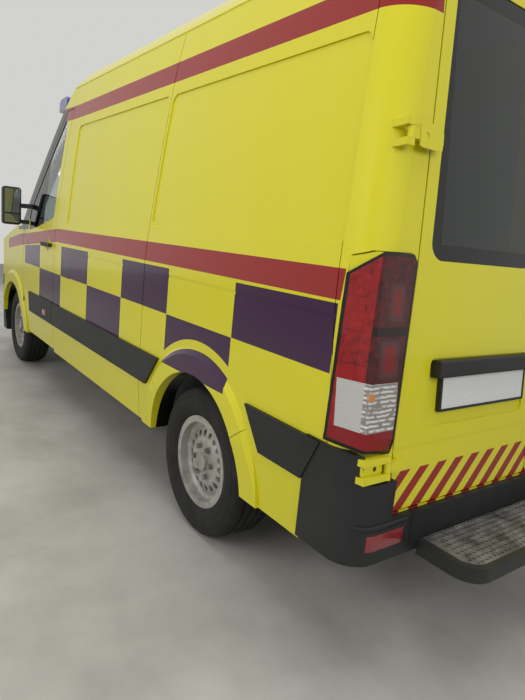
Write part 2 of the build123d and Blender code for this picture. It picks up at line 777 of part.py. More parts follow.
# Engine, gearbox, propeller shaft
nodes["engine_block"] = block(3400, 4040, -290, 290, 400, 1070)
driveline = block(2750, 3400, -140, 140, 360, 600 - 90)
driveline += rod((180, 0, tyre_radius), (2760, 0, 420), 40)
nodes["driveline"] = driveline - nodes["chassis_rails"]
nodes["radiator"] = block(4330, 4400, -rail_inner, rail_inner, 400, 960) - nodes["chassis_rails"]

# Rear axle and leaf springs
spring_y = 520
axle = rod((0, -rear_track / 2 + 30, tyre_radius), (0, rear_track / 2 - 30, tyre_radius), 44)
for side in (1, -1):
    stub = rod((0, side * (rear_track / 2 - 36), tyre_radius), (0, side * (rear_track / 2 + 48), tyre_radius), spindle_radius)
    axle += stub
axle += Pos(0, 0, tyre_radius) * Sphere(140)
nodes["rear_axle"] = axle - nodes["driveline"]
spring_side = make_face([
    *ThreePointArc((-680, 470), (0, tyre_radius + 46), (640, 470)).edges(),
    *Line((640, 470), (640, 492)).edges(),
    *ThreePointArc((640, 492), (0, tyre_radius + 84), (-680, 492)).edges(),
    *Line((-680, 492), (-680, 470)).edges(),
])
springs = None
for side in (1, -1):
    y_from, y_to = sorted((side * (spring_y - 35), side * (spring_y + 35)))
    leaf = across(spring_side, y_from, y_to)
    leaf += block(-690, -640, y_from, y_to, 470, floor_bottom) + block(600, 650, y_from, y_to, 470, floor_bottom)
    leaf += block(-50, 50, y_from, y_to, tyre_radius + 40, tyre_radius + 62)
    springs = leaf if springs is None else springs + leaf
nodes["rear_axle"] += springs

# Rear bumper and step

def bumper_plan(inset):
    """The rear bumper's outline in plan, with rounded rear corners."""
    half = half_width + 8 - inset
    rear = bumper_face + inset
    face = Polygon((rear, -half), (rear, half), (bumper_front, half), (bumper_front, -half), align=None)
    corners_behind = face.vertices().sort_by(Axis.X)[:2]
    return fillet(corners_behind, 110 - inset)


bumper_front = -800
bumper_wall = 40
rear_bumper = upward(bumper_plan(0), 410, 785) - upward(bumper_plan(bumper_wall), 300, 900)
rear_bumper -= block(bumper_face - 10, bumper_front, -848, 848, rear_sill - 8, 900)
hinge_ledge = 692
rear_bumper -= block(-1100, -935, -985, 985, hinge_ledge, 900)
rear_bumper += block(bumper_face + bumper_wall, -935, -900, 900, 440, rear_sill - 8)
nodes["rear_bumper"] = rear_bumper

step_plan = Pos(bumper_face - step_reach / 2, 0) * Rectangle(step_reach, 1380)
step_plan = fillet(step_plan.vertices().sort_by(Axis.X)[:2], 90)
rear_step = upward(step_plan, 390, 445)
for side in (1, -1):
    rear_step += block(bumper_face - 60, -935, side * 400 - 30, side * 400 + 30, 350, 410)
nodes["rear_step"] = rear_step - nodes["rear_bumper"]

# Tail lamps wrap the rear corners
tail_outline = outline([
    (1100, 805), (864, 775), (846, 817), (818, 1110), (792, 1388), (812, 1415), (955, 1412), (1100, 1345),
], 10)
tail_prism = along(tail_outline, -1200, rear_face + 126)
tail_lift = 8

# The lamp's side face slants inwards to a crisp upright ridge, columns: Z, ridge Y, side X, side Y
tail_ridge = [(700, 995.5, -881, 1023.7), (1500, 943.5, -874, 1008)]


def outside_ridge():
    """What lies outside the lamp's slanting side face."""
    sections = []
    for z, ridge_y, side_x, side_y in tail_ridge:
        ridge_x = rear_x(z) - tail_lift
        slope = (side_y - ridge_y) / (side_x - ridge_x)
        far = (-1300, ridge_y - slope * (ridge_x + 1300))
        face = Polygon((side_x, side_y), far, (-1300, 1300), (side_x, 1300), align=None)
        sections.append(Pos(0, 0, z) * face)
    return loft(sections, ruled=True)


tail = (body_shape(-tail_lift, rounded=False) - body_shape(55) - outside_ridge()) & tail_prism
nodes["tail_lamps"] = tail + mirrored(tail)

# Light bar on the slope over the windscreen
bar_half = 868
bar_side = outline([(2560, 2345), (2585, 2364), (2725, 2358), (2762, 2335), (2768, 2262), (2580, 2262)], 8)
nodes["light_bar"] = across(bar_side, -bar_half, bar_half) - outer

# Body below the bumper line and lamp spaces
tail_space = along(grown(tail_outline, 2), -1200, rear_face + 128) - body_shape(55 + running_gap)
for name in ("rear_frame", "side_left", "side_right", "rear_bumper"):
    nodes[name] -= tail_space + mirrored(tail_space)
below_bumper = block(-1200, bumper_front + 10, -wide, wide, 300, 425)
for name in ("rear_frame", "side_left", "side_right"):
    nodes[name] -= nodes["rear_bumper"] + below_bumper
corner_seam = seam_band & behind_rear_line(rear_corner + 4)
for name in ("side_left", "side_right"):
    nodes[name] -= corner_seam

# Side mouldings
moulding_lift = 14
moulding_band = body_shape(-moulding_lift) - outer
front_strip = outline([(375, 776), (3028, 776), (2990, 608), (510, 608)])
rear_strip = outline([(-425, 780), (-870, 780), (-796, 622), (-545, 620)])
trim_rear = door_rear + panel_gap / 2
door_strip = front_strip & outline([(trim_rear, 500), (3300, 500), (3300, 900), (trim_rear, 900)])
body_strip = front_strip & outline([(0, 500), (b_pillar - 3, 500), (b_pillar - 3, 900), (0, 900)])
strip = moulding_band & left_side(body_strip)
strip += moulding_band & left_side(rear_strip)
nodes["side_mouldings"] = (strip + mirrored(strip)) - nodes["rear_bumper"]
door_moulding = moulding_band & left_side(door_strip)

# Cab door hinges: an eye on the door turns on a pin between two lugs on the post
cab_hinge_levels = (840, 1160)
cab_pin_radius = 4.5
cab_eye_radius = 8
cab_eye_length = 40
lug_length = 16
lug_reach = 84
pocket_gap = 2
pocket_reach = 40
for z in cab_hinge_levels:
    spot = Pos(hinge_x, hinge_y, z)
    pin = spot * Cylinder(cab_pin_radius, cab_eye_length + 2 * lug_length)
    pocket_half = cab_eye_length / 2 + lug_length + 4
    pocket = spot * Cylinder(cab_eye_radius + pocket_gap, 2 * pocket_half)
    pocket += block(
        core_front - 1, hinge_x + pocket_reach, hinge_y - lug_reach, hinge_y + cab_eye_radius + pocket_gap,
        z - pocket_half, z + pocket_half,
    )
    for side in (-1, 1):
        lug_z = z + side * (cab_eye_length + lug_length + 1) / 2
        pin += Pos(hinge_x, hinge_y, lug_z) * Cylinder(cab_eye_radius, lug_length)
        pin += block(
            hinge_x - cab_eye_radius, hinge_x + cab_eye_radius, hinge_y - lug_reach, hinge_y,
            lug_z - lug_length / 2, lug_z + lug_length / 2,
        )
    eye = spot * Cylinder(cab_eye_radius, cab_eye_length)
    eye += block(
        core_front - 20, hinge_x, hinge_y - cab_eye_radius, hinge_y + cab_eye_radius - 2,
        z - cab_eye_length / 2, z + cab_eye_length / 2,
    )
    eye -= spot * Cylinder(cab_pin_radius + running_gap, 2 * pocket_half)
    for side, place in (("left", lambda shape: shape), ("right", mirrored)):
        nodes["cab_frame"] += place(pin)
        nodes[f"cab_door_{side}"] -= place(pocket)
        nodes[f"cab_door_{side}"] += place(eye)

# Rear door hinges on a leaning axis behind the corner, columns: level, strap reach, bracket reach
rear_hinge_y = 885
rear_hinge_back = 22
rear_hinges = [(1767, 738, 912), (736, 805, 1000)]
pin_radius = 7
eye_radius = 12
foot = 18
bracket_depth = 45
lean = radians(rear_lean)
axis_direction = (sin(lean), 0, cos(lean))


def on_rear_face(x, z):
    """A frame on the rear face: local X out of the face, local Y to the left, local Z up the face."""
    return Location((rear_x(z) + x, 0, z), (0, rear_lean, 0))


for z, strap_y, bracket_y in rear_hinges:
    place = on_rear_face(0, z)
    pin = place * (Pos(-rear_hinge_back, rear_hinge_y, 0) * Cylinder(pin_radius, 80))
    for dz in (-29, 29):
        pin += place * (Pos(-rear_hinge_back, rear_hinge_y, dz) * Cylinder(eye_radius, 22))
        pin += place * block(-rear_hinge_back - 8, bracket_depth, rear_hinge_y, bracket_y, dz - 11, dz + 11)
    pin -= outer + tail + tail_space
    eye = place * (Pos(-rear_hinge_back, rear_hinge_y, 0) * Cylinder(eye_radius, 34))
    eye += place * block(-rear_hinge_back - 6, -6, strap_y, rear_hinge_y, -17, 17)
    eye += place * block(-10, 2, strap_y, strap_y + foot, -17, 17)
    eye -= place * (Pos(-rear_hinge_back, rear_hinge_y, 0) * Cylinder(pin_radius + running_gap, 90))
    eye -= outer
    for side, put in (("left", lambda shape: shape), ("right", mirrored)):
        nodes["rear_frame"] += put(pin)
        nodes[f"rear_door_{side}"] += put(eye)
nodes["rear_bumper"] -= nodes["rear_frame"]

# Plate lamp bar, holder and blank plate on the left rear door, drawn on the leaning rear face
bar_level = (1009, 1069)
bar_reach = 34
holder_reach = 10
plate_middle = (352, 951)
plate_size = (520, 112)
plate_thickness = 2
bar_place = on_rear_face(0, sum(bar_level) / 2)
bar_height = (bar_level[1] - bar_level[0]) / 2
bar = fillet(block(-bar_reach, plate_depth + 2, 87, 664, -bar_height, bar_height).edges().filter_by(Axis.Y), 9)
plate_place = on_rear_face(0, plate_middle[1])


def plate_block(x_from, x_to, margin):
    half_y, half_z = plate_size[0] / 2 + margin, plate_size[1] / 2 + margin
    return block(x_from, x_to, plate_middle[0] - half_y, plate_middle[0] + half_y, -half_z, half_z)


holder = plate_block(-holder_reach, plate_depth + 2, 9)
holder -= plate_block(-holder_reach - 5, -holder_reach + 5, 0)
nodes["plate_bar"] = (bar_place * bar + plate_place * holder) - nodes["rear_door_left"]
nodes["plate"] = plate_place * plate_block(-holder_reach + 5 - plate_thickness, -holder_reach + 5, 0)

# Handles: a bar over a round recess on each cab door and on the sliding door, and one on the right rear door
handle_z = 1216
handle_half = 118
handle_reach = 26
cup_radius = 50
cup_depth = 10


def side_handle(x):
    """A pull handle on the left side, and the cup behind it."""
    bar_side = outline([
        (x - handle_half, handle_z - 15), (x + handle_half, handle_z - 15),
        (x + handle_half, handle_z + 15), (x - handle_half, handle_z + 15),
    ], 12)
    pull = across(bar_side, half_width + handle_reach - 13, half_width + handle_reach)
    for foot_x in (x - handle_half + 22, x + handle_half - 22):
        foot_side = Pos(foot_x, handle_z) * Rectangle(30, 24)
        pull += across(foot_side, half_width - 20, half_width + handle_reach - 6) - outer
    cup = (outer - body_shape(cup_depth)) & left_side(Pos(x, handle_z) * Circle(cup_radius))
    return pull, cup


cab_pull, cab_cup = side_handle(2482)
slide_pull, slide_cup = side_handle(2110)
nodes["cab_door_left"] -= cab_cup
nodes["cab_door_right"] -= mirrored(cab_cup)
nodes["sliding_door"] -= mirrored(slide_cup)
nodes["side_mouldings"] += mirrored(slide_pull)
handle_place = on_rear_face(0, 1130)
rear_pull = fillet(block(-38, -22, -190, -60, -15, 15).edges(), 6)
rear_pull += block(-26, 4, -182, -160, -11, 11) + block(-26, 4, -90, -68, -11, 11)
nodes["rear_handle"] = handle_place * rear_pull - nodes["rear_door_right"]

# Underbody: fuel tank, silencer with its pipe, and the spare wheel
tank = fillet(block(1480, 2120, rail_outer, 760, 330, 520).edges(), 30)
silencer = Pos(1350, -560, 430) * Rot(0, 90, 0) * Cylinder(95, 460)
pipe_y = -640
pipe_z = 452
pipe = rod((1580, -560, 430), (2700, -480, 430), 28)
pipe += rod((1150, -600, 440), (700, pipe_y, pipe_z), 28)
pipe += rod((700, pipe_y, pipe_z), (-760, pipe_y, pipe_z), 28) + Pos(700, pipe_y, pipe_z) * Sphere(28)
hangers = block(1340, 1360, -560, -rail_outer, 480, 500) + block(300, 320, pipe_y, -rail_outer, 470, 490)
hangers += block(-740, -720, pipe_y, -rail_outer, 470, 490) + block(2400, 2420, -500, -rail_outer, 440, 470)
spare_x = -560
spare = Pos(spare_x, 0, 350) * (fillet(Cylinder(335, 190).edges().filter_by(GeomType.CIRCLE), 40) - Pos(0, 0, -95) * Cylinder(190, 120))
spare += block(spare_x - 30, spare_x + 30, -rail_inner, rail_inner, 440, 480)
nodes["underbody"] = tank + silencer + pipe + hangers + spare

# Bonnet hinges, close under the skin so that the rear edge rises without moving back
bonnet_axis = (3500, 1317)
bonnet_pin_radius = 5
bonnet_eye_radius = 9
shelf_level = 1245
for y in (-700, 700):
    spot = Pos(bonnet_axis[0], y, bonnet_axis[1]) * Rot(90, 0, 0)
    pin = spot * Cylinder(bonnet_pin_radius, 60)
    for dy in (-24, 24):
        pin += block(
            bonnet_axis[0] - 12, bonnet_axis[0] + bonnet_eye_radius, y + dy - 6, y + dy + 6,
            shelf_level, bonnet_axis[1] + bonnet_eye_radius,
        )
    nodes["cowl"] -= block(bonnet_axis[0] - 16, 3700, y - 31, y + 31, 1250, 1400)
    eye = spot * Cylinder(bonnet_eye_radius, 30)
    eye += block(bonnet_axis[0], 3575, y - 15, y + 15, bonnet_axis[1] - 8, bonnet_axis[1] + 8)
    eye -= spot * Cylinder(bonnet_pin_radius + running_gap, 90)
    nodes["cab_frame"] += pin
    nodes["bonnet"] += eye

# Mirrors on two arms from the door's front corner
mirror_inner = 1062
mirror_head = fillet(block(3152, 3246, mirror_inner, mirror_half_width, 1338, 1658).edges(), 26)
lower_arm = upward(outline([(3155, 960), (3212, 960), (3222, 1085), (3175, 1085)]), 1352, 1386)
upper_plan = outline([(3045, 940), (3085, 940), (3085, 992), (3222, 1070), (3222, 1090), (3185, 1090), (3045, 1008)])
upper_arm = upward(upper_plan, 1486, 1524)
mirror_piece = mirror_head + (lower_arm - outer) + (upper_arm - outer)
for side, place in (("left", lambda shape: shape), ("right", mirrored)):
    nodes[f"door_trim_{side}"] = place(mirror_piece + door_moulding + cab_pull)

for name, shape in nodes.items():
    print(name, len(shape.solids()), round(shape.volume / 1e6, 1))
    export_step(Pos(-mid_length, 0, 0) * shape, f"parts/{name}.step")
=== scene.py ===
# %% [markdown]
# # A van ambulance
# This lesson dresses the CAD model of a high-roof van ambulance. The panels, doors and wheels come
# ready-made and stay where they are. Each cell adds one finish or one detail and says why it is made so.

# %% Load the frame
from math import cos, exp, pi, radians, sin

import bmesh
import bpy
from mathutils import Matrix, Vector


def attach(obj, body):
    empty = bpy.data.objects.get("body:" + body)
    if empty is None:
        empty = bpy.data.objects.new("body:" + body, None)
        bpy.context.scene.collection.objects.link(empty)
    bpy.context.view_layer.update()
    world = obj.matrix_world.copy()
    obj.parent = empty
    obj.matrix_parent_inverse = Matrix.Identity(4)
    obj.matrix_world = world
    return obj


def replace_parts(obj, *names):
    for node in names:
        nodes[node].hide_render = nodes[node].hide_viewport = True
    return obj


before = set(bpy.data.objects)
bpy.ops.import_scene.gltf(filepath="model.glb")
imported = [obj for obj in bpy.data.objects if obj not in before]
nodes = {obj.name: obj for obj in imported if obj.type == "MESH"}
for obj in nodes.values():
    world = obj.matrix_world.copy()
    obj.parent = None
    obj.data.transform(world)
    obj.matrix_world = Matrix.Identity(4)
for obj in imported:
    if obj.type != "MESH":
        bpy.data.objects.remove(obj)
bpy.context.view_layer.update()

# %% [markdown]
# ## Helpers
# Every material is a small graph of shader nodes. One function adds a node, sets it up and links it, so
# that a recipe reads from top to bottom. Most finishes are two tones mixed by noise, with fine relief.

# %% Colour and node helpers


def linear(hex_colour):
    """An sRGB colour such as F0E040 as the linear RGBA that the shader needs."""
    values = [int(hex_colour[i:i + 2], 16) / 255 for i in (0, 2, 4)]
    return [v / 12.92 if v <= 0.04045 else ((v + 0.055) / 1.055) ** 2.4 for v in values] + [1]


def fill(tree, node, inputs):
    """Sets or links a node's inputs. A node stands for its first output and a hex string for a colour."""
    for key, value in inputs.items():
        if isinstance(value, bpy.types.Node):
            value = value.outputs[0]
        if isinstance(value, bpy.types.NodeSocket):
            tree.links.new(value, node.inputs[key])
        else:
            node.inputs[key].default_value = linear(value) if isinstance(value, str) else value


def add(tree, kind, inputs=(), **settings):
    """Adds a node with its settings. Its inputs are a list, from the first on, or go by name or place."""
    node = tree.nodes.new(kind if "Node" in kind else "ShaderNode" + kind)
    for name, value in settings.items():
        setattr(node, name, value)
    fill(tree, node, inputs if isinstance(inputs, dict) else dict(enumerate(inputs)))
    return node


def new_material(name):
    """An empty material: its tree, its shader and the object's own coordinates."""
    material = bpy.data.materials.new(name)
    material.use_nodes = True
    tree = material.node_tree
    tree.nodes.clear()
    shader = add(tree, "BsdfPrincipled")
    add(tree, "OutputMaterial", {"Surface": shader})
    return material, tree, shader, add(tree, "TexCoord").outputs["Object"]


def layered(tree, base, *films):
    """A base colour under films, each a mask and a colour, with the last on top."""
    for mask, colour in films:
        base = add(tree, "Mix", {0: mask, 6: base, 7: colour}, data_type="RGBA").outputs[2]
    return base


def textured(tree, shader, height, strength, depth, **values):
    """Gives a shader its plain values, with spaces as underlines, and relief of a depth in metres."""
    relief = add(tree, "Bump", {"Height": height, "Strength": strength, "Distance": depth})
    fill(tree, shader, {"Normal": relief})
    fill(tree, shader, {name.replace("_", " "): value for name, value in values.items()})


def mottled(name, first, second, scale, detail, roughness, limits):
    """A material of two tones mixed by noise, and how much of the second tone there is."""
    material, tree, shader, place = new_material(name)
    noise = add(tree, "TexNoise", {"Vector": place, "Scale": scale, "Detail": detail, "Roughness": roughness})
    amount = add(tree, "MapRange", {0: noise, 1: limits[0], 2: limits[1]})
    fill(tree, shader, {"Base Color": layered(tree, first, (amount, second))})
    return material, tree, shader, place, amount


# %% [markdown]
# ## Where things are
# The measures below are metres from the rear axle, forward positive, and from the ground. The model's own
# origin lies at mid length, so the axle stands at a negative place along the vehicle.

# %% Stations
rear_axle = -1.6925
wheelbase = 3.67
tyre_radius = 0.356


def station(x):
    """A place along the vehicle, given from the rear axle, in the model's frame."""
    return x + rear_axle


# %% [markdown]
# ## Camera
# The photograph was taken from behind and to the left of the vehicle, a little below eye height, with a
# wide phone lens. The camera was fitted to the straight edges of the body, so it also leans a little.

# %% Camera
camera_place = (-3.8235, 2.232, 1.412)
camera_yaw = radians(-36.62)
camera_pitch = radians(11.19)
camera_roll = radians(5.56)
photo_height = 700
focal_pixels = 553

look = Vector((
    cos(camera_yaw) * cos(camera_pitch),
    sin(camera_yaw) * cos(camera_pitch),
    -sin(camera_pitch),
))
level_right = look.cross(Vector((0, 0, 1))).normalized()
level_up = level_right.cross(look)
right = cos(camera_roll) * level_right + sin(camera_roll) * level_up
up = -sin(camera_roll) * level_right + cos(camera_roll) * level_up
camera_data = bpy.data.cameras.new("camera")
camera_data.sensor_width = 36
camera_data.lens = focal_pixels / photo_height * camera_data.sensor_width
camera = bpy.data.objects.new("camera", camera_data)
camera.matrix_world = Matrix((
    (right.x, up.x, -look.x, camera_place[0]),
    (right.y, up.y, -look.y, camera_place[1]),
    (right.z, up.z, -look.z, camera_place[2]),
    (0, 0, 0, 1),
))
bpy.context.scene.collection.objects.link(camera)
bpy.context.scene.camera = camera
bpy.context.scene.view_settings.view_transform = "Standard"
print("lens", round(camera_data.lens, 2), "mm")

# %% [markdown]
# ## Light and floor
# A workshop with long ceiling lamps: soft light from above, a pale floor and a pale surround. The
# surround is bright only for the camera, reflections and glass, so it does not wash out the paint.

# %% Light
lamps = {
    "lamp_above": dict(place=(-1, 0.5, 6.0), size=(7, 6), power=220, turn=(0, 0, 0)),
    "lamp_left": dict(place=(-1.5, 6.0, 3.6), size=(6, 2.5), power=145, turn=(-62, 0, 0)),
    "lamp_behind": dict(place=(-7.5, 1.5, 3.4), size=(2.5, 5), power=118, turn=(0, -62, 0)),
    "lamp_right": dict(place=(1.0, -6.0, 3.6), size=(6, 2.5), power=120, turn=(62, 0, 0)),
    "lamp_front": dict(place=(7.5, 0.0, 3.4), size=(2.5, 5), power=120, turn=(0, 62, 0)),
}
for name, setting in lamps.items():
    data = bpy.data.lights.new(name, "AREA")
    data.shape = "RECTANGLE"
    data.size, data.size_y = setting["size"]
    data.energy = setting["power"]
    lamp = bpy.data.objects.new(name, data)
    lamp.location = setting["place"]
    lamp.rotation_euler = [radians(angle) for angle in setting["turn"]]
    bpy.context.scene.collection.objects.link(lamp)
    lamp.visible_glossy = False

surround_light = 0.62
world = bpy.data.worlds.new("surround")
bpy.context.scene.world = world
world.use_nodes = True
sky = world.node_tree
sky.nodes.clear()
ray = add(sky, "LightPath").outputs
seen = add(sky, "Math", [ray["Is Camera Ray"], ray["Is Transmission Ray"]], operation="MAXIMUM")
seen = add(sky, "Math", [seen, ray["Is Glossy Ray"]], operation="MAXIMUM")
bright = add(sky, "MapRange", {0: seen, 3: surround_light, 4: 1.0})
backdrop = add(sky, "Background", {"Color": layered(sky, "B4B4B2", (seen, "D2D2CF")), "Strength": bright})
add(sky, "OutputWorld", {"Surface": backdrop})
print("lamps", len(lamps))

# %% Floor
floor_half = 14
bpy.ops.mesh.primitive_plane_add(size=2 * floor_half, location=(0, 0, -0.001))
ground = bpy.context.object
ground.name = "ground"
concrete, tree, shader, _, _ = mottled("polished_concrete", "9F9D97", "B9B6B0", 1.6, 6, 0.6, (0.35, 0.65))
fill(tree, shader, {"Roughness": 0.55})
ground.data.materials.append(concrete)

# %% [markdown]
# ## Paint and livery
# The body is solid yellow two-pack enamel under a clear coat, sprayed, so it is smooth with a faint orange
# peel. The stripes and checks are vinyl film cut to size. They follow the outside of the panels, so the
# pattern is worked out from where a point is on the body: how far along, how high and how far out.

# %% Livery pattern helpers


def measures(tree, place):
    """A point's place along and across the model, its distance out on either side, and its height."""
    parts = add(tree, "SeparateXYZ", [place]).outputs
    return parts[0], parts[1], add(tree, "Math", [parts[1]], operation="ABSOLUTE"), parts[2]


def between(tree, value, low, high, blur=0.0004):
    """1 where a value lies between two limits, each a number or a socket, with a hair of blur."""
    over = add(tree, "Math", [value, low], operation="SUBTRACT")
    under = add(tree, "Math", [high, value], operation="SUBTRACT")
    least = add(tree, "Math", [over, under], operation="MINIMUM")
    return add(tree, "Math", [least, 1 / blur], operation="MULTIPLY", use_clamp=True)


def joined(tree, operation, masks):
    """Masks joined one by one into one mask."""
    result = masks[0]
    for mask in masks[1:]:
        result = add(tree, "Math", [result, mask], operation=operation)
    return result


def both(tree, *masks):
    """The part that all the masks share."""
    return joined(tree, "MULTIPLY", masks)


def either(tree, *masks):
    """The part that any of the masks covers."""
    return joined(tree, "MAXIMUM", masks)


def within(tree, *ranges):
    """The part where every value is inside its range: a value, its limits and perhaps a blur."""
    return both(tree, *[between(tree, *limits) for limits in ranges])


def reach(tree, centre, *parts):
    """The distance of a point, given by two or three measures, from a centre."""
    spot = add(tree, "CombineXYZ", list(parts))
    return add(tree, "VectorMath", [spot, (*centre, 0)[:3]], operation="DISTANCE").outputs["Value"]


def line_of(tree, along, points):
    """A height that changes along the vehicle, straight between its points, columns: along, height."""
    low_x, high_x = points[0][0], points[-1][0]
    ramp = add(tree, "MapRange", {0: along, 1: low_x, 2: high_x, 3: 0.0, 4: 1.0})
    curve = add(tree, "FloatCurve", {"Value": ramp})
    line = curve.mapping.curves[0]
    curve.mapping.extend = "HORIZONTAL"
    while len(line.points) < len(points):
        line.points.new(0.5, 0.5)
    heights = [z for _, z in points]
    low_z, high_z = min(heights), max(heights)
    for point, (x, z) in zip(line.points, points):
        point.location = ((x - low_x) / (high_x - low_x), (z - low_z) / (high_z - low_z))
        point.handle_type = "VECTOR"
    curve.mapping.update()
    return add(tree, "MapRange", {0: curve, 1: 0.0, 2: 1.0, 3: low_z, 4: high_z})


# %% Livery
paint_yellow = "DAD226"
film_red = "931A14"
film_edge = -0.872
check_width = 0.597
check_start = -0.866
check_end = 3.227
check_foot, check_middle = 0.772, 1.011
check_top = [(-0.9, 1.240), (2.111, 1.226), (2.709, 1.198), (3.227, 1.166), (3.7, 1.120)]
belt_top = [(-0.9, 1.350), (2.251, 1.348), (2.924, 1.294), (3.416, 1.257), (3.9, 1.190)]
belt_bottom = [(-0.9, 1.250), (2.231, 1.250), (3.313, 1.164), (3.9, 1.098)]
cap_top = [(-1.2, 2.245), (2.2, 2.250), (2.55, 2.262), (3.2, 2.262)]
cap_bottom = [(-1.2, 2.143), (2.2, 2.150), (2.55, 2.160), (3.2, 2.160)]
beyond = 2.0

# How far out each film starts, or ends on the rear doors, so that it stays off the inner faces
cap_out, belt_out, check_out, bars_out = 0.75, 0.93, 0.95, 0.836

livery, tree, shader, place = new_material("yellow_enamel_with_film")
x, y, out, high = measures(tree, place)
along = add(tree, "Math", [x, -rear_axle], operation="ADD")

belt = within(
    tree,
    (high, line_of(tree, along, belt_bottom), line_of(tree, along, belt_top)),
    (along, film_edge, 3.9),
    (out, belt_out, beyond),
)
cap = within(
    tree,
    (high, line_of(tree, along, cap_bottom), line_of(tree, along, cap_top)),
    (along, -0.9, 3.2),
    (out, cap_out, beyond),
)

# The checks stand in two rows, and a gap parts the film on the wheel flare from the film on the side
flare_centre, flare_edge, panel_edge = (-0.020, tyre_radius), 0.543, 0.586
column = add(tree, "Math", [along, check_start], operation="SUBTRACT")
column = add(tree, "Math", [column, 2 * check_width, 0.0], operation="WRAP")
even = between(tree, column, 0.0, check_width)
odd = add(tree, "Math", [1.0, even], operation="SUBTRACT")
upper_row = between(tree, high, check_middle, line_of(tree, along, check_top))
lower_row = between(tree, high, check_foot, check_middle)
gap = between(tree, reach(tree, flare_centre, along, high), flare_edge, panel_edge)
checks = both(
    tree,
    either(tree, both(tree, even, upper_row), both(tree, odd, lower_row)),
    add(tree, "Math", [1.0, gap], operation="SUBTRACT"),
    within(tree, (along, check_start, check_end), (out, check_out, beyond)),
)

# The rear doors' outer skin carries slanting red bars, which climb towards the middle of the vehicle
tail_lean = 0.091
tail_place = -1.0925
bar_period = 0.101
bar_width = 0.052
bar_slope = 1.04
bar_start = 0.055
bars_low, bars_high = 0.4, 0.702
outer_skin = 0.012
lean_line = add(tree, "Math", [high, tail_lean, tail_place], operation="MULTIPLY_ADD")
from_tail = add(tree, "Math", [along, lean_line], operation="SUBTRACT")
climb = add(tree, "Math", [high, bar_slope, out], operation="MULTIPLY_ADD")
bar_place = add(tree, "Math", [climb, bar_start], operation="SUBTRACT")
bar_place = add(tree, "Math", [bar_place, bar_period, 0.0], operation="WRAP")
tail_bars = within(
    tree, (bar_place, 0.0, bar_width), (high, bars_low, bars_high), (from_tail, -0.05, outer_skin),
    (out, 0.0, bars_out),
)

# Inside, the walls are lined in white, and the wheel arches are sprayed with black underseal
side_skin = [(0.1, 0.930), (0.6, 0.965), (1.345, 0.960), (1.73, 0.920), (2.24, 0.845), (2.65, 0.3)]
ceiling = [(-0.93, 2.44), (-0.60, 2.585), (1.8, 2.585), (2.05, 2.555), (2.3, 2.46), (3.2, 1.85)]
arch_radius, arch_out, sill_level = 0.47, 0.985, 0.384
cavity = within(
    tree,
    (out, -1.0, line_of(tree, high, side_skin)),
    (from_tail, 0.15, 9.0),
    (along, -0.93, 3.2),
    (high, 0.3, line_of(tree, along, ceiling)),
)
arches = [
    between(tree, reach(tree, (axle, tyre_radius), along, high), -1.0, arch_radius)
    for axle in (0.0, wheelbase)
]
underseal = both(tree, either(tree, *arches), between(tree, out, -1.0, arch_out))
under = between(tree, high, -1.0, sill_level)

# A flush socket flap on the left, and the plain yellow cup behind the cab door's handle
left_side = (y, 0.95, 1.2)
flap = within(tree, (along, 1.915, 2.065), (high, 1.012, 1.130), left_side)
flap_edge = within(tree, (along, 1.897, 2.083), (high, 1.007, 1.135), left_side)
cup_centre, cup_radius = (2.482, 1.216), 0.054
cup = between(tree, reach(tree, cup_centre, along, high), -1, cup_radius)

# The windscreen pillars and the cab doors' front frames are black
pillar = [(2.43, 2.190), (2.478, 2.118), (2.824, 1.750), (3.110, 1.440), (3.14, 1.310), (3.45, 1.295)]
pillar_black = within(
    tree, (high, line_of(tree, along, pillar), 2.25), (along, 2.45, 3.5), (out, 0.7, 1.2),
)
colour = layered(
    tree, paint_yellow,
    (either(tree, belt, cap, tail_bars), film_red),
    (checks, "3D1F40"),
    (flap_edge, "121114"),
    (flap, "33263A"),
    (cup, paint_yellow),
    (cavity, "CFD1D0"),
    (either(tree, underseal, under), "141414"),
    (pillar_black, "101112"),
)
fill(tree, shader, {"Base Color": colour, "Roughness": 0.22, "Specular IOR Level": 0.35})
peel = add(tree, "TexNoise", {"Vector": place, "Scale": 380, "Detail": 1})
textured(tree, shader, peel, 0.05, 0.0004, Coat_Weight=0.3, Coat_Roughness=0.06)


def dress(material, *names):
    """Gives CAD nodes a material in place of their plain one."""
    for name in names:
        nodes[name].data.materials.clear()
        nodes[name].data.materials.append(material)
    print(material.name, "on", *names)


dress(
    livery, "side_left", "side_right", "sliding_door", "roof", "rear_frame", "rear_door_left",
    "rear_door_right", "cab_door_left", "cab_door_right", "cab_frame", "bonnet", "wings",
)

# %% [markdown]
# ## Black plastic
# Bumpers, mouldings, mirrors and handles are injection-moulded polypropylene with a pebble grain, left
# unpainted. Sun and washing fade it to a dark grey, and dust gathers low down, so the colour is never even.

# %% Black plastic


def grained_plastic(name, dark, pale, roughness=0.5):
    """Moulded plastic with a pebble grain about a millimetre across."""
    material, tree, shader, place, _ = mottled(name, dark, pale, 3.5, 7, 0.65, (0.35, 0.7))
    grain = add(tree, "TexVoronoi", {"Vector": place, "Scale": 700})
    textured(tree, shader, grain, 0.25, 0.0004, Roughness=roughness)
    return material


black_plastic = grained_plastic("grained_polypropylene", "151617", "232526")
dress(
    black_plastic, "cowl", "front_bumper", "grille", "rear_bumper", "side_mouldings", "door_trim_left",
    "door_trim_right", "plate_bar", "rear_handle",
)
dress(grained_plastic("soft_dashboard_skin", "1C1D20", "26282B", 0.6), "dashboard")

# %% [markdown]
# ## Glass
# The cab has clear laminated and toughened glass. The rear door glass is dyed dark, with a black ceramic
# border fired on to hide the glue, so light passes only inside that border.

# %% Glass


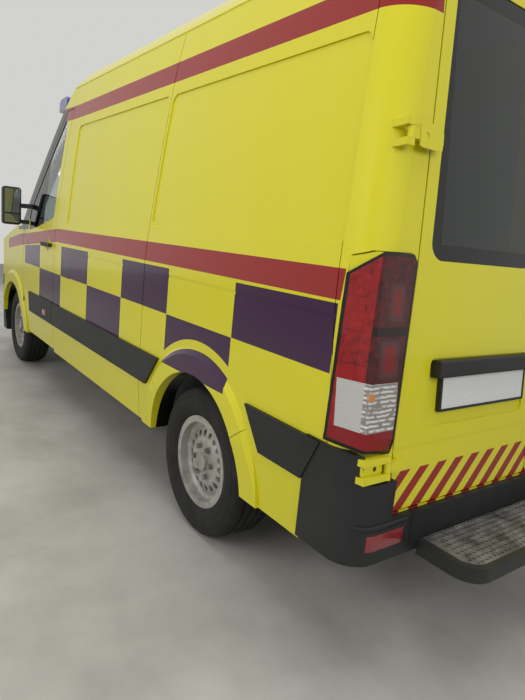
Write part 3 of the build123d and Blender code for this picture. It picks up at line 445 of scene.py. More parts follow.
def glass(name, tint, clear_mask=None):
    """Sheet glass: it lets light through except where its border is fired black."""
    material, tree, shader, place = new_material(name)
    fill(tree, shader, {"Roughness": 0.02, "IOR": 1.5, "Base Color": tint, "Transmission Weight": 1})
    if clear_mask:
        mask = clear_mask(tree, place)
        fill(tree, shader, {"Base Color": layered(tree, "08090A", (mask, tint)), "Transmission Weight": mask})
    return material


def inside_rear_border(tree, place):
    """The see-through part of a rear door glass, in from its black border."""
    _, _, out, high = measures(tree, place)
    return within(tree, (out, 0.135, 0.665), (high, 1.455, 2.235))


def behind_quarter(tree, place):
    """The clear part of a cab door glass, behind the black quarter panel."""
    x, _, _, high = measures(tree, place)
    edge = add(tree, "Math", [high, 0.06, station(2.60)], operation="MULTIPLY_ADD")
    return between(tree, x, station(2.30), edge)


dress(glass("toughened_glass", "D9E2DF"), "windscreen")
dress(glass("cab_door_glass", "C6D0CE", behind_quarter), "cab_glass_left", "cab_glass_right")
dress(glass("dyed_rear_glass", "8E9997", inside_rear_border), "rear_glass_left", "rear_glass_right")

# %% [markdown]
# ## Steel, rubber and the underside
# Wheel rims are pressed steel, sprayed silver and soon dulled by brake dust. Everything under the floor is
# black chassis paint with a grey bloom of road dirt.

# %% Steel and rubber


def dusty_metal(name, clean, dirty, metallic, roughness, scale=9):
    """Painted or bare metal with blotches of dust, which are duller than the metal."""
    material, tree, shader, place, dust = mottled(name, clean, dirty, scale, 8, 0.7, (0.42, 0.68))
    dull = add(tree, "MapRange", {0: dust, 3: roughness, 4: min(1, roughness + 0.25)})
    fine = add(tree, "TexNoise", {"Vector": place, "Scale": 260, "Detail": 2})
    textured(tree, shader, fine, 0.12, 0.0005, Metallic=metallic, Roughness=dull)
    return material


rim_silver = dusty_metal("silver_sprayed_steel", "C4C3BE", "A19D95", 0.65, 0.34, 14)
dress(rim_silver, "rim_front_left", "rim_front_right", "rim_rear_left", "rim_rear_right")
dress(
    dusty_metal("black_chassis_paint", "1B1C1D", "4A4640", 0.0, 0.6), "chassis_rails", "front_suspension",
    "rear_axle", "knuckle_left", "knuckle_right", "driveline", "underbody",
)
dress(dusty_metal("cast_engine_metal", "5A5B5D", "3C3A37", 0.5, 0.55), "engine_block")
dress(dusty_metal("radiator_alloy", "8A8C8F", "5E5C58", 0.8, 0.45), "radiator")
dress(dusty_metal("grey_safety_vinyl", "5B5F63", "6B6E70", 0.0, 0.55, 30), "floor")
dress(dusty_metal("white_moulded_lining", "D8DAD9", "C9CBCA", 0.0, 0.4, 5), "bulkhead")

tyre_rubber, tree, shader, _, _ = mottled("tyre_rubber", "181817", "2C2B29", 12, 8, 0.7, (0.4, 0.75))
fill(tree, shader, {"Roughness": 0.75})

# %% [markdown]
# ## Tail lamps
# A tail lamp is one moulded acrylic lens over coloured chambers: bright red at the side, smoked red towards
# the rear, a clear block for the turn and reversing lamps, and a dark border that hides the seal. The lens
# is ribbed inside, which is why it glitters, so the ribs are relief under a clear coat.

# %% Where the lens turns, and its two reds
lamp_ridge = [(0.700, 0.9955), (1.500, 0.9435)]
clear_low, clear_high = 0.852, 1.008
lens, tree, shader, place = new_material("ribbed_acrylic_lens")
x, _, out, high = measures(tree, place)
lean_back = add(tree, "Math", [high, tail_lean, station(tail_place)], operation="MULTIPLY_ADD")
depth = add(tree, "Math", [x, lean_back], operation="SUBTRACT")
at_rear = between(tree, out, 0.0, line_of(tree, high, lamp_ridge))
turned = add(tree, "Mapping", {0: place, "Rotation": (radians(90), 0, 0)})
brick = add(tree, "TexBrick", {
    "Vector": turned, "Color1": "8E0F14", "Color2": "740C11", "Mortar": "3C060A", "Scale": 1.0,
    "Mortar Size": 0.0016, "Brick Width": 0.11, "Row Height": 0.106,
}, offset=0.0)
cells = add(tree, "TexNoise", {"Vector": place, "Scale": 46, "Detail": 3})
glow = add(tree, "MapRange", {0: cells, 1: 0.35, 2: 0.7})
side_red = layered(tree, brick, (glow, "A0161B"))

# Two framed chambers show through the smoked part, with a dark band between them
frame_width, frame_blur, glow_blur = 0.012, 0.014, 0.02
band_low, band_high = 1.155, 1.185
frames, glows = [], []
for z_low, z_high, y_low, y_high in ((1.015, 1.150, 0.845, 0.945), (1.195, 1.325, 0.835, 0.915)):
    frames.append(both(tree, at_rear, within(
        tree, (high, z_low, z_high, frame_blur), (out, y_low, y_high, frame_blur),
    )))
    glows.append(both(tree, at_rear, within(
        tree, (high, z_low + frame_width, z_high - frame_width, glow_blur),
        (out, y_low + frame_width, y_high - frame_width, glow_blur),
    )))
dark_band = both(tree, at_rear, between(tree, high, band_low, band_high))
rear_red = layered(
    tree, "34090C", (glow, "5E0F14"), (either(tree, *frames), "4C3135"), (either(tree, *glows), "7A1A1F"),
    (dark_band, "1C0709"),
)

# %% The clear block
clear_inner, clear_depth = 0.846, 0.104
clear = within(tree, (high, clear_low, clear_high), (out, clear_inner, beyond), (depth, -0.1, clear_depth))
hatch_pitch = 0.0075
lines = []
for up in (1, -1):
    climb = add(tree, "VectorMath", [place, (1, 1, up)], operation="DOT_PRODUCT").outputs["Value"]
    phase = add(tree, "Math", [climb, 2 * pi / hatch_pitch], operation="MULTIPLY")
    lines.append(add(tree, "Math", [phase], operation="SINE"))
hatch = either(tree, *lines)
cut_glass = add(tree, "MapRange", {0: hatch, 1: 0.2, 2: 1.0})
# Painted highlights: white wavy streaks over the grey chrome at the rear, with lighter patches of noise.
painted_highlight_streaks = add(tree, "TexWave", {
    "Vector": place, "Scale": 21, "Distortion": 2.5, "Detail": 3,
}, bands_direction="Z")
shade = add(tree, "TexNoise", {"Vector": place, "Scale": 38, "Detail": 2})
dim = add(tree, "MapRange", {0: shade, 1: 0.5, 2: 0.62})
chrome = layered(tree, "7C7973", (painted_highlight_streaks.outputs[1], "E2E0DB"), (dim, "8B8780"))
bulb_centre, bulb_radius, bulb_blur = (station(-1.012), 0.962, 0.966), 0.020, 0.012
bulb = between(tree, reach(tree, bulb_centre, x, out, high), -1, bulb_radius, bulb_blur)
clear_colour = layered(tree, "A09F9B", (cut_glass, "D6D5D0"), (at_rear, chrome), (bulb, "C98A45"))

# %% The dark border
# It runs all round: the front edge, the sloping top, the inner edge and the foot
border_width = 0.011
inner_edge = [(0.775, 0.864), (0.817, 0.846), (1.110, 0.818), (1.388, 0.792), (1.415, 0.812)]
lamp_top, lamp_front, foot_slope = 1.414, -0.881, 0.127
top_start, top_slope = station(-0.972), 0.83
foot_level = inner_edge[0][0] - inner_edge[0][1] * foot_slope
inner_limit = add(tree, "Math", [line_of(tree, high, inner_edge), border_width], operation="ADD")
foot_limit = add(tree, "Math", [out, foot_slope, foot_level + border_width], operation="MULTIPLY_ADD")
fall = add(tree, "Math", [x, -top_slope, lamp_top + top_slope * top_start - border_width],
           operation="MULTIPLY_ADD")
top_limit = add(tree, "Math", [fall, lamp_top - border_width], operation="MINIMUM")
lit = within(
    tree, (out, inner_limit, beyond), (high, foot_limit, top_limit),
    (x, -9.0, station(lamp_front) - 0.9 * border_width),
)
low_red = between(tree, high, 0.7, clear_low)
inside = layered(tree, side_red, (at_rear, rear_red), (low_red, "850F14"), (clear, clear_colour))
fill(tree, shader, {"Base Color": layered(tree, "0D0B0B", (lit, inside)), "Specular IOR Level": 0.35})
ribs = add(tree, "TexWave", {"Vector": place, "Scale": 62}, bands_direction="Z").outputs[1]
prisms = add(tree, "Math", [ribs, hatch], operation="ADD")
textured(tree, shader, prisms, 0.35, 0.0012, Roughness=0.3, Coat_Weight=0.35, Coat_Roughness=0.05)
print("lens nodes", len(tree.nodes))

# %% [markdown]
# ## Small solids
# Borders, bolts and reflectors are little solids with broken edges. Real edges are never sharp: a small
# bevel catches the light, so nearly all of them get it.

# %% Solid helpers


def finished(name, mesh, material, body, smooth=True):
    """Makes an object of a mesh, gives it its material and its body."""
    piece = bpy.data.objects.new(name, mesh)
    bpy.context.scene.collection.objects.link(piece)
    mesh.materials.clear()
    mesh.materials.append(material)
    if smooth:
        for polygon in mesh.polygons:
            polygon.use_smooth = True
        mesh.set_sharp_from_angle(angle=radians(32))
    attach(piece, body)
    print(name, "has", len(mesh.polygons), "faces and rides on", body)
    return piece


def to_mesh(name, shape):
    """Merges a shape's doubles, turns its faces outwards and makes it a mesh."""
    bmesh.ops.remove_doubles(shape, verts=shape.verts[:], dist=1e-6)
    bmesh.ops.recalc_face_normals(shape, faces=shape.faces[:])
    mesh = bpy.data.meshes.new(name)
    shape.to_mesh(mesh)
    shape.free()
    return mesh


def skin(shape, loops, capped=False):
    """Quads between loops of points. The first and last loops are capped, or else joined to each other."""
    rings = [[shape.verts.new(point) for point in loop] for loop in loops]
    for ring, after in zip(rings, rings[1:] if capped else rings[1:] + rings[:1]):
        for k in range(len(ring)):
            n = (k + 1) % len(ring)
            shape.faces.new((ring[k], ring[n], after[n], after[k]))
    if capped:
        shape.faces.new(rings[0][::-1])
        shape.faces.new(rings[-1])
    return shape


def bevelled(shape, width, segments):
    """Breaks the edges of a shape."""
    bmesh.ops.bevel(shape, geom=shape.edges[:], offset=width, segments=segments, profile=0.5, affect="EDGES",
                    clamp_overlap=True)
    return shape


def block(shape, low, high):
    """Adds a box between two corners to a shape."""
    for vertex in bmesh.ops.create_cube(shape, size=1)["verts"]:
        vertex.co = Vector([low[i] + (high[i] - low[i]) * (vertex.co[i] + 0.5) for i in range(3)])
    return shape


def moved(name, meshes, place_of):
    """Copies of meshes joined as one, with every point put where a function says."""
    shape = bmesh.new()
    for mesh in meshes:
        shape.from_mesh(mesh)
    for vertex in shape.verts:
        vertex.co = place_of(vertex.co)
    return to_mesh(name, shape)


def both_sides(name, mesh, material, body, smooth=False):
    """A piece on the left and its twin on the right. The body's name may hold SIDE."""
    twin = moved(name + "_right", [mesh], lambda point: Vector((point.x, -point.y, point.z)))
    finished(name + "_left", mesh, material, body.replace("SIDE", "left"), smooth)
    finished(name + "_right", twin, material, body.replace("SIDE", "right"), smooth)


# %% [markdown]
# ## Tyres
# A tyre's tread is one pattern repeated round its rim. Geometry Nodes place one set of blocks at every step
# of the circle and join them, which is how the mould is cut too. The sidewall has rings that a lathe would
# make, so it is a profile turned round the axle.

# %% Tyre body
tyre_middle = {
    "front_left": (wheelbase, 0.856), "front_right": (wheelbase, -0.856),
    "rear_left": (0.0, 0.859), "rear_right": (0.0, -0.859),
}
turn_steps = 120

# From the bead to the shoulder, columns: radius and offset from the tyre's middle
sidewall = [
    (0.2042, 0.0820), (0.2196, 0.0895), (0.2235, 0.1000), (0.2300, 0.1062), (0.2330, 0.1080),
    (0.2345, 0.1068), (0.2360, 0.1084), (0.2500, 0.1135), (0.2680, 0.1165), (0.2695, 0.1152),
    (0.2710, 0.1166), (0.2900, 0.1172), (0.3100, 0.1155), (0.3115, 0.1135), (0.3130, 0.1148),
    (0.3280, 0.1115), (0.3400, 0.1050), (0.3478, 0.0960), (0.3510, 0.0860),
]
groove_depth = 0.008
groove_half = 0.0048
groove_lean = 0.0012
tread = []
for middle, crown in ((0.062, 0.3552), (0.021, 0.3556)):
    floor_half_width = groove_half - groove_lean
    tread += [(crown, middle + groove_half), (crown - groove_depth, middle + floor_half_width),
              (crown - groove_depth, middle - floor_half_width), (crown, middle - groove_half)]
outer_half = sidewall + tread
profile = outer_half + [(r, -y) for r, y in reversed(outer_half)]
rings = []
for i in range(turn_steps):
    angle = 2 * pi * i / turn_steps
    rings.append([(r * cos(angle), y, r * sin(angle)) for r, y in profile])
tyre_base = to_mesh("tyre_base", skin(bmesh.new(), rings))

# %% Copies with Geometry Nodes


def start_tree(name, settings):
    """A tree that takes a mesh and named settings, each a kind and a value: the tree, its entry and keys."""
    tree = bpy.data.node_groups.new(name, "GeometryNodeTree")
    tree.interface.new_socket(name="Geometry", in_out="INPUT", socket_type="NodeSocketGeometry")
    keys = {}
    for label, (kind, value) in settings.items():
        socket = tree.interface.new_socket(name=label, in_out="INPUT", socket_type="NodeSocket" + kind)
        socket.default_value = value
        keys[label] = socket.identifier
    tree.interface.new_socket(name="Geometry", in_out="OUTPUT", socket_type="NodeSocketGeometry")
    return tree, add(tree, "NodeGroupInput").outputs, keys


def finish_tree(tree, entry, count, spot, material, **turn):
    """Sets a copy of the mesh on each point, makes the copies real and gives them their material."""
    points = add(tree, "GeometryNodePoints", {"Count": count, "Position": spot})
    copies = add(tree, "GeometryNodeInstanceOnPoints", {
        "Points": points, "Instance": entry["Geometry"], **turn,
    })
    real = add(tree, "GeometryNodeRealizeInstances", [copies])
    coated = add(tree, "GeometryNodeSetMaterial", {0: real, "Material": material})
    add(tree, "NodeGroupOutput", [coated])


def circle_tree(name, material):
    """A node tree that sets copies of a mesh round the Y axis, at a radius and in equal steps."""
    tree, entry, keys = start_tree(name, {
        "Count": ("Int", 6), "Radius": ("Float", 0.1), "Start": ("Float", 0.0),
    })
    index = add(tree, "GeometryNodeInputIndex")
    share = add(tree, "Math", [index, entry["Count"]], operation="DIVIDE")
    angle = add(tree, "Math", [share, 2 * pi, entry["Start"]], operation="MULTIPLY_ADD")
    across = add(tree, "Math", [angle], operation="COSINE")
    upward = add(tree, "Math", [angle], operation="SINE")
    spot = add(tree, "CombineXYZ", {0: across, 2: upward})
    spot = add(tree, "VectorMath", {0: spot, "Scale": entry["Radius"]}, operation="SCALE")
    back = add(tree, "Math", [angle, -1.0], operation="MULTIPLY")
    finish_tree(tree, entry, entry["Count"], spot, material, Rotation=add(tree, "CombineXYZ", {1: back}))
    return tree, keys


def grown_by(tree, keys, mesh, settings):
    """The mesh that a node tree makes of another mesh with these settings."""
    carrier = bpy.data.objects.new("carrier", mesh)
    bpy.context.scene.collection.objects.link(carrier)
    modifier = carrier.modifiers.new("nodes", "NODES")
    modifier.node_group = tree
    for label, value in settings.items():
        modifier[keys[label]] = value
    bpy.context.view_layer.update()
    evaluated = carrier.evaluated_get(bpy.context.evaluated_depsgraph_get())
    made = bpy.data.meshes.new_from_object(evaluated)
    bpy.data.objects.remove(carrier)
    return made


# %% Tread blocks
tread_count = 84
tread_sink = 0.0012
shoulder_drop = 0.0105
shoulder_inner, shoulder_outer = 0.0700, 0.0985
rib_inner, rib_outer = 0.0285, 0.0545
blocks = bmesh.new()
for side in (1, -1):
    for z_low, z_high in ((-0.0125, 0.0005), (0.0035, 0.0112)):
        block(blocks, (-0.008, side * shoulder_inner, z_low), (0.0012, side * shoulder_outer, z_high))
    for z_low, z_high in ((-0.0120, -0.0020), (0.0010, 0.0110)):
        block(blocks, (-0.006, side * rib_inner, z_low), (0.0004, side * rib_outer, z_high))
for vertex in blocks.verts:
    if abs(vertex.co.y) > 0.09:
        vertex.co.x -= shoulder_drop
tread_mesh = grown_by(*circle_tree("ring_of_copies", tyre_rubber), to_mesh("tread_block", blocks), {
    "Count": tread_count, "Radius": tyre_radius - tread_sink, "Start": 0.0,
})

for corner, (x, y) in tyre_middle.items():
    name = "treaded_tyre_" + corner
    axle_place = Vector((station(x), y, tyre_radius))
    mesh = moved(name, [tyre_base, tread_mesh], lambda point: point + axle_place)
    piece = finished(name, mesh, tyre_rubber, "wheel_" + corner, smooth=False)
    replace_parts(piece, "tyre_" + corner)

# %% [markdown]
# ## Tail lamp shape
# The lamp's top slopes down towards the front of the vehicle. The CAD solid has a level top, so a copy of it
# is cut along that slope. What is cut off becomes the painted panel over the lamp, pushed back flush.

# %% Cut tail lamps
lamp_lift = 0.008
slope_start = Vector((top_start, 0, lamp_top))
slope_normal = Vector((0.078, 0, 0.094)).normalized()


def cut_lamps(keep_under):
    """A copy of the lamps' solids: what lies under, or over, the sloping plane, with the cut closed."""
    shape = bmesh.new()
    shape.from_mesh(nodes["tail_lamps"].data)
    bmesh.ops.remove_doubles(shape, verts=shape.verts[:], dist=1e-5)
    bmesh.ops.bisect_plane(
        shape, geom=shape.verts[:] + shape.edges[:] + shape.faces[:], plane_co=slope_start,
        plane_no=slope_normal, clear_outer=keep_under, clear_inner=not keep_under,
    )
    bmesh.ops.holes_fill(shape, edges=[edge for edge in shape.edges if edge.is_boundary], sides=0)
    return shape


lamp_mesh = to_mesh("tail_lamp_lenses", cut_lamps(True))
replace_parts(finished("tail_lamp_lenses", lamp_mesh, lens, "body"), "tail_lamps")
filler = cut_lamps(False)
for vertex in filler.verts:
    side = 1 if vertex.co.y > 0 else -1
    vertex.co += Vector((lamp_lift, -side * lamp_lift, 0))
finished("lamp_top_panels", to_mesh("lamp_top_panels", filler), livery, "body")

# %% [markdown]
# ## Rear hinges
# The door hinges are pressed steel, painted with the body. Each shows a flat plate with one round hole, for
# the tool that sets the door straight. The upper plate turns with its door. The lower one is a web between
# the two brackets on the body.

# %% Hinge plates
lean_angle = radians(5.2)
tail_out = Vector((-cos(lean_angle), 0, sin(lean_angle)))
tail_up = Vector((sin(lean_angle), 0, cos(lean_angle)))
hole_steps = 40
hinge_plates = {
    "upper_hinge_plate": dict(body="rear_door_SIDE", level=1.767, middle=0.7985, half=(0.0545, 0.038),
                              hole=0.022, radius=0.009, offs=(0.028, 0.031)),
    "lower_hinge_web": dict(body="body", level=0.736, middle=0.9485, half=(0.0490, 0.0176),
                            hole=-0.014, radius=0.008, offs=(0.0105, 0.013)),
}


def tail_point(out, y, level, up=0.0):
    """A point off the leaning rear face: metres out of it, to the left, its level, and up along the face."""
    foot = Vector((station(tail_lean * level + tail_place), y, level))
    return foot + out * tail_out + up * tail_up


def holed_loops(out, level, middle, half, hole, radius):
    """The rim of a plate on the rear face and the rim of its hole, at a distance off the face."""
    rim, ring = [], []
    for i in range(hole_steps):
        angle = 2 * pi * (i + 0.5) / hole_steps
        across, upward = cos(angle), sin(angle)
        far = 1 / max(abs(across) / half[0], abs(upward) / half[1])
        rim.append(tail_point(out, middle + across * far, level, upward * far))
        ring.append(tail_point(out, middle + hole + across * radius, level, upward * radius))
    return rim, ring


for name, plate in hinge_plates.items():
    body, offs = plate.pop("body"), plate.pop("offs")
    (low_rim, low_ring), (high_rim, high_ring) = [holed_loops(out, **plate) for out in offs]
    mesh = to_mesh(name, skin(bmesh.new(), [low_rim, high_rim, high_ring, low_ring]))
    both_sides(name, mesh, livery, body)

# %% [markdown]
# ## Reflectors
# Reflectors are moulded acrylic with tiny corner cubes behind a smooth face. The rear pair sit in the
# bumper's corners, so they bend round them, as do their bezels, a ridge over them and a seam beside them.

# %% Strips round the bumper
bumper_half = 1.024
bumper_back = -1.065
bumper_corner = 0.110
reflector_red, tree, shader, place = new_material("red_reflector_acrylic")
cubes = add(tree, "TexVoronoi", {"Vector": place, "Scale": 320}, distance="MANHATTAN")
shade = add(tree, "MapRange", {0: cubes, 1: 0.1, 2: 0.7})
fill(tree, shader, {"Base Color": layered(tree, "5E1018", (shade, "8A1B25"))})
textured(tree, shader, cubes, 0.4, 0.0008, Roughness=0.2, Coat_Weight=1)
seam_black = grained_plastic("shadow_in_the_seam", "050505", "0A0A0A", 0.9)

# Each strip's reach across and up, its two distances off the bumper, steps, and its edge's width and steps
strips = {
    "reflector_bezel": ((0.768, 0.966), (0.447, 0.530), (-0.004, 0.0022), 14, (0.0012, 2)),
    "bumper_ridge": ((0.768, 1.000), (0.536, 0.552), (-0.006, 0.0075), 14, (0.005, 3)),
    "bumper_seam": ((0.736, 0.741), (0.432, 0.560), (-0.002, 0.0006), 1, None),
    "rear_reflector": ((0.783, 0.952), (0.461, 0.517), (-0.002, 0.0042), 14, (0.0012, 2)),
}
for name, ((y_from, y_to), (z_from, z_to), (inner, outer), steps, edge) in strips.items():
    loops = []
    for i in range(steps + 1):
        y = y_from + (y_to - y_from) * i / steps
        past = max(0.0, y - (bumper_half - bumper_corner))
        face = station(bumper_back + bumper_corner - (bumper_corner ** 2 - past ** 2) ** 0.5)
        loops.append([
            (face - off, y, z) for off, z in ((inner, z_from), (outer, z_from), (outer, z_to), (inner, z_to))
        ])
    shape = skin(bmesh.new(), loops, capped=True)
    if edge:
        bevelled(shape, *edge)
    material = {"bumper_seam": seam_black, "rear_reflector": reflector_red}.get(name, black_plastic)
    slot = "lamp_red" if name == "rear_reflector" else "black_plastic"
    both_sides(name, to_mesh(name, shape), material, "body", smooth=edge is not None)

# %% Side markers
# A ray from the left finds how far out the moulding lies there, and the marker stands a little proud
marker_low, marker_high = (2.445, 0.650), (2.545, 0.694)
marker_sunk, marker_proud = 0.002, 0.003
start = Vector((station(2.49), 3.0, 0.672))
marker_out = nodes["door_trim_left"].ray_cast(start, Vector((0, -1, 0)))[1].y
marker = block(bmesh.new(), (station(marker_low[0]), marker_out - marker_sunk, marker_low[1]),
               (station(marker_high[0]), marker_out + marker_proud, marker_high[1]))
marker_mesh = to_mesh("side_marker", bevelled(marker, 0.0014, 2))
both_sides("side_marker", marker_mesh, reflector_red, "cab_door_SIDE", True)
print("moulding lies at", marker_out)

# %% [markdown]
# ## Rear step
# The step is a black rim round a pressed tread plate. The plate is punched in rows, each hole with a raised
# lip that grips a boot. Boots keep the lips bright, and the holes are near-black discs of painted shade.
# Geometry Nodes set the lips and the holes out in staggered rows.

# %% Tread plate
step_level = 0.445
worn_tread, tree, shader, place, _ = mottled(
    "worn_pressed_tread_steel", "4C4B48", "8C8A85", 11, 9, 0.75, (0.38, 0.62),
)
scratch = add(tree, "TexNoise", {"Vector": place, "Scale": 90, "Detail": 5})
textured(tree, shader, scratch, 0.3, 0.001, Metallic=0.35, Roughness=0.5)
dress(grained_plastic("step_rim_plastic", "1A1B1C", "2C2D2E"), "rear_step")

tread_back, tread_front = station(-1.278), station(-1.069)
tread_half = 0.668
tread_corner = 0.07
outline = [(tread_front, -tread_half), (tread_front, tread_half)]
for side, start_angle in ((1, pi / 2), (-1, pi)):
    for i in range(9):
        angle = start_angle + pi / 2 * i / 8
        outline.append((tread_back + tread_corner * (1 + cos(angle)),
                        side * (tread_half - tread_corner) + tread_corner * sin(angle)))
loops = [[(x, y, z) for x, y in outline] for z in (step_level - 0.001, step_level + 0.002)]
tread_plate = to_mesh("tread_plate", skin(bmesh.new(), loops, capped=True))
finished("tread_plate", tread_plate, worn_tread, "body", False)

# %% Lips and holes


def field_tree(name, material):
    """A node tree that sets copies of a mesh in staggered rows, from one corner."""
    tree, entry, keys = start_tree(name, {
        "Columns": ("Int", 4), "Rows": ("Int", 4), "Pitch": ("Float", 0.02), "Corner": ("Vector", (0, 0, 0)),
    })
    total = add(tree, "Math", [entry["Columns"], entry["Rows"]], operation="MULTIPLY")
    index = add(tree, "GeometryNodeInputIndex")
    share = add(tree, "Math", [index, entry["Columns"]], operation="DIVIDE")
    row = add(tree, "Math", [share], operation="FLOOR")
    column = add(tree, "Math", [index, entry["Columns"]], operation="MODULO")
    shift = add(tree, "Math", [row, 2.0], operation="MODULO")
    column = add(tree, "Math", [shift, 0.5, column], operation="MULTIPLY_ADD")
    spot = add(tree, "CombineXYZ", [row, column])
    spot = add(tree, "VectorMath", {0: spot, "Scale": entry["Pitch"]}, operation="SCALE")
    spot = add(tree, "VectorMath", [spot, entry["Corner"]], operation="ADD")
    finish_tree(tree, entry, total, spot, material)
    return tree, keys


lip_steps = 10
lip_section = ((0.0088, 0.0), (0.0072, 0.0026), (0.0060, 0.0026), (0.0052, 0.0004))
lip_angles = [2 * pi * i / lip_steps for i in range(lip_steps)]
rings = [
    [(radius * cos(angle), radius * sin(angle), z) for angle in lip_angles] for radius, z in lip_section
]
lip_mesh = to_mesh("lip", skin(bmesh.new(), rings))
hole = bmesh.new()
hole_radius, hole_depth = 0.0054, 0.0006
bmesh.ops.create_cone(
    hole, cap_ends=True, segments=lip_steps, radius1=hole_radius, radius2=hole_radius, depth=hole_depth,
)
# The holes are thin near-black discs laid on the plate: painted shade where a hole goes through.
painted_hole_shade = grained_plastic("painted_shade_in_the_holes", "0B0B0B", "1A1918", 0.8)
pitch = 0.0235
columns, rows = 55, 9
first_row, over_step = 0.013, 0.0021
corner = Vector((tread_back + first_row, -(columns - 0.5) * pitch / 2, step_level + over_step))
for name, mesh, material, slot in (
    ("tread_lips", lip_mesh, worn_tread, "silver_steel"),
    ("tread_holes", to_mesh("hole", hole), painted_hole_shade, "black_plastic"),
):
    made = grown_by(*field_tree(name + "_rows", material), mesh, {
        "Columns": columns, "Rows": rows, "Pitch": pitch, "Corner": corner,
    })
    finished(name, made, material, "body", False)

# %% [markdown]
# ## Wheel nuts
# Six nuts hold each wheel. They are hexagonal, zinc plated and dulled by brake dust.

# %% Wheel nuts
zinc = dusty_metal("zinc_plated_steel", "A9A8A4", "6A655D", 0.8, 0.35, 60)
nut_circle = 0.075
nut_out = 0.087
nut_foot, nut_top, nut_height = 0.0150, 0.0135, 0.016
nut = bmesh.new()
bmesh.ops.create_cone(nut, cap_ends=True, segments=6, radius1=nut_foot, radius2=nut_top, depth=nut_height)
for vertex in nut.verts:
    vertex.co = vertex.co.xzy
nut_ring = grown_by(*circle_tree("ring_of_nuts", zinc), to_mesh("wheel_nut", nut), {
    "Count": 6, "Radius": nut_circle, "Start": 0.0,
})
for corner_name, (x, y) in tyre_middle.items():
    name = "wheel_nuts_" + corner_name
    side = 1 if y > 0 else -1
    centre = Vector((station(x), y + side * nut_out, tyre_radius))
    mesh = moved(name, [nut_ring], lambda point: centre + Vector((point.x, side * point.y, point.z)))
    finished(name, mesh, zinc, "wheel_" + corner_name, False)

# %% [markdown]
# ## Seats
# Each seat is a foam cushion, a foam back and a head pad, sewn up in woven cloth. The foam crowns the middle,
# the sides pull in between the corners, and sewn channels part the middle panel from the bolsters. Piping
# covers the seam round the edge. A moulded plinth carries the cushion, and two steel posts the head pad.

# %% Pad helpers
pad_edge = 0.028
pull_in = 0.006
bolster_rise, bolster_place, bolster_half = 0.010, 0.78, 0.22
channel_place, channel_width, channel_depth = 0.56, 0.006, 0.007
flute_depth = 0.0045
piping_level, piping_radius, piping_steps = 0.35, 0.0032, 36


def cube_grid(shape, cells):
    """The six faces of a cube from -1 to 1, each cut into cells."""
    for axis in range(3):
        across, upward = (axis + 1) % 3, (axis + 2) % 3
        for side in (-1, 1):
            rows = []
            for i in range(cells[across] + 1):
                row = []
                for k in range(cells[upward] + 1):
                    spot = Vector((side, side, side))
                    spot[across] = 2 * i / cells[across] - 1
                    spot[upward] = 2 * k / cells[upward] - 1
                    row.append(shape.verts.new(spot))
                rows.append(row)
            for row, after in zip(rows, rows[1:]):
                for k in range(cells[upward]):
                    shape.faces.new((row[k], after[k], after[k + 1], row[k + 1]))


def soft_point(spot, half, crown, flutes):
    """A cube's point moved to a pad's skin: round edges, a crowned face, bolsters and sewn channels."""
    full = Vector([place * size for place, size in zip(spot, half)])
    core = Vector([max(pad_edge - size, min(size - pad_edge, place)) for place, size in zip(full, half)])
    point = core + (full - core).normalized() * pad_edge
    u, v, w = spot
    point.x -= pull_in * u * abs(u) ** 3 * (1 - v * v)
    point.y -= pull_in * v * abs(v) ** 3 * (1 - u * u)
    rise = crown * (1 - u * u) * (1 - v ** 4)
    from_bolster = (abs(v) - bolster_place) / bolster_half
    bolster = bolster_rise * (1 - u ** 4) * max(0.0, 1 - from_bolster ** 2)
    groove = channel_depth * exp(-((abs(v) - channel_place) * half[1] / channel_width) ** 2)
    if abs(v) < channel_place:
        for flute in flutes:
            groove = max(groove, flute_depth * exp(-((u - flute) * half[0] / channel_width) ** 2))
    point.z += max(0.0, w) ** 2 * (rise + bolster - groove * (1 - u ** 6))
    return point


def piping(shape, half, crown):
    """A thin cord in cloth, sewn in round the pad, at a level between its two faces."""
    corners = [(-1, -1), (1, -1), (1, 1), (-1, 1)]
    ring = []
    for (u, v), (next_u, next_v) in zip(corners, corners[1:] + corners[:1]):
        for i in range(piping_steps):
            share = i / piping_steps
            spot = (u + (next_u - u) * share, v + (next_v - v) * share, piping_level)
            ring.append(soft_point(spot, half, crown, ()))
    upright = Vector((0, 0, 1))
    turns = [pi * k / 3 for k in range(6)]
    loops = []
    for i, spot in enumerate(ring):
        side = (ring[(i + 1) % len(ring)] - ring[i - 1]).cross(upright).normalized()
        loops.append([spot + piping_radius * (side * cos(turn) + upright * sin(turn)) for turn in turns])
    skin(shape, loops)


# %% Seat cloth, pads, plinths and posts
seat_cloth, tree, shader, place = new_material("woven_seat_cloth")
weave = either(tree, *[
    add(tree, "TexWave", {"Vector": place, "Scale": 190}, bands_direction=axis).outputs[1] for axis in "XYZ"
])
fill(tree, shader, {"Base Color": layered(tree, "1D2026", (weave, "343943"))})
textured(tree, shader, weave, 0.4, 0.0008, Roughness=0.95, Sheen_Weight=0.3)
seat_pads = {
    "seat_cushion": dict(foot=(2.800, 0.880), lean=180.0, size=(0.470, 0.520, 0.130), crown=0.016,
                         flutes=(-0.35, 0.05, 0.45), cells=(64, 72, 14)),
    "seat_back": dict(foot=(2.330, 1.013), lean=99.0, size=(0.630, 0.520, 0.100), crown=0.012,
                      flutes=(-0.55, -0.2, 0.15, 0.5), cells=(80, 72, 12)),
    "head_pad": dict(foot=(2.235, 1.656), lean=93.8, size=(0.192, 0.280, 0.076), crown=0.010,
                     flutes=(), cells=(26, 36, 12)),
}
plinth_plastic = grained_plastic("moulded_seat_plinth", "1E2023", "2B2D31", 0.6)
plinth_back, plinth_front, plinth_half, plinth_top, plinth_round = 2.335, 2.755, 0.218, 0.880, 0.014
post_place, post_level, post_apart, post_radius, post_length = 2.272, 1.650, 0.053, 0.007, 0.110
seat_floor = min(vertex.co.z for vertex in nodes["seats"].data.vertices)
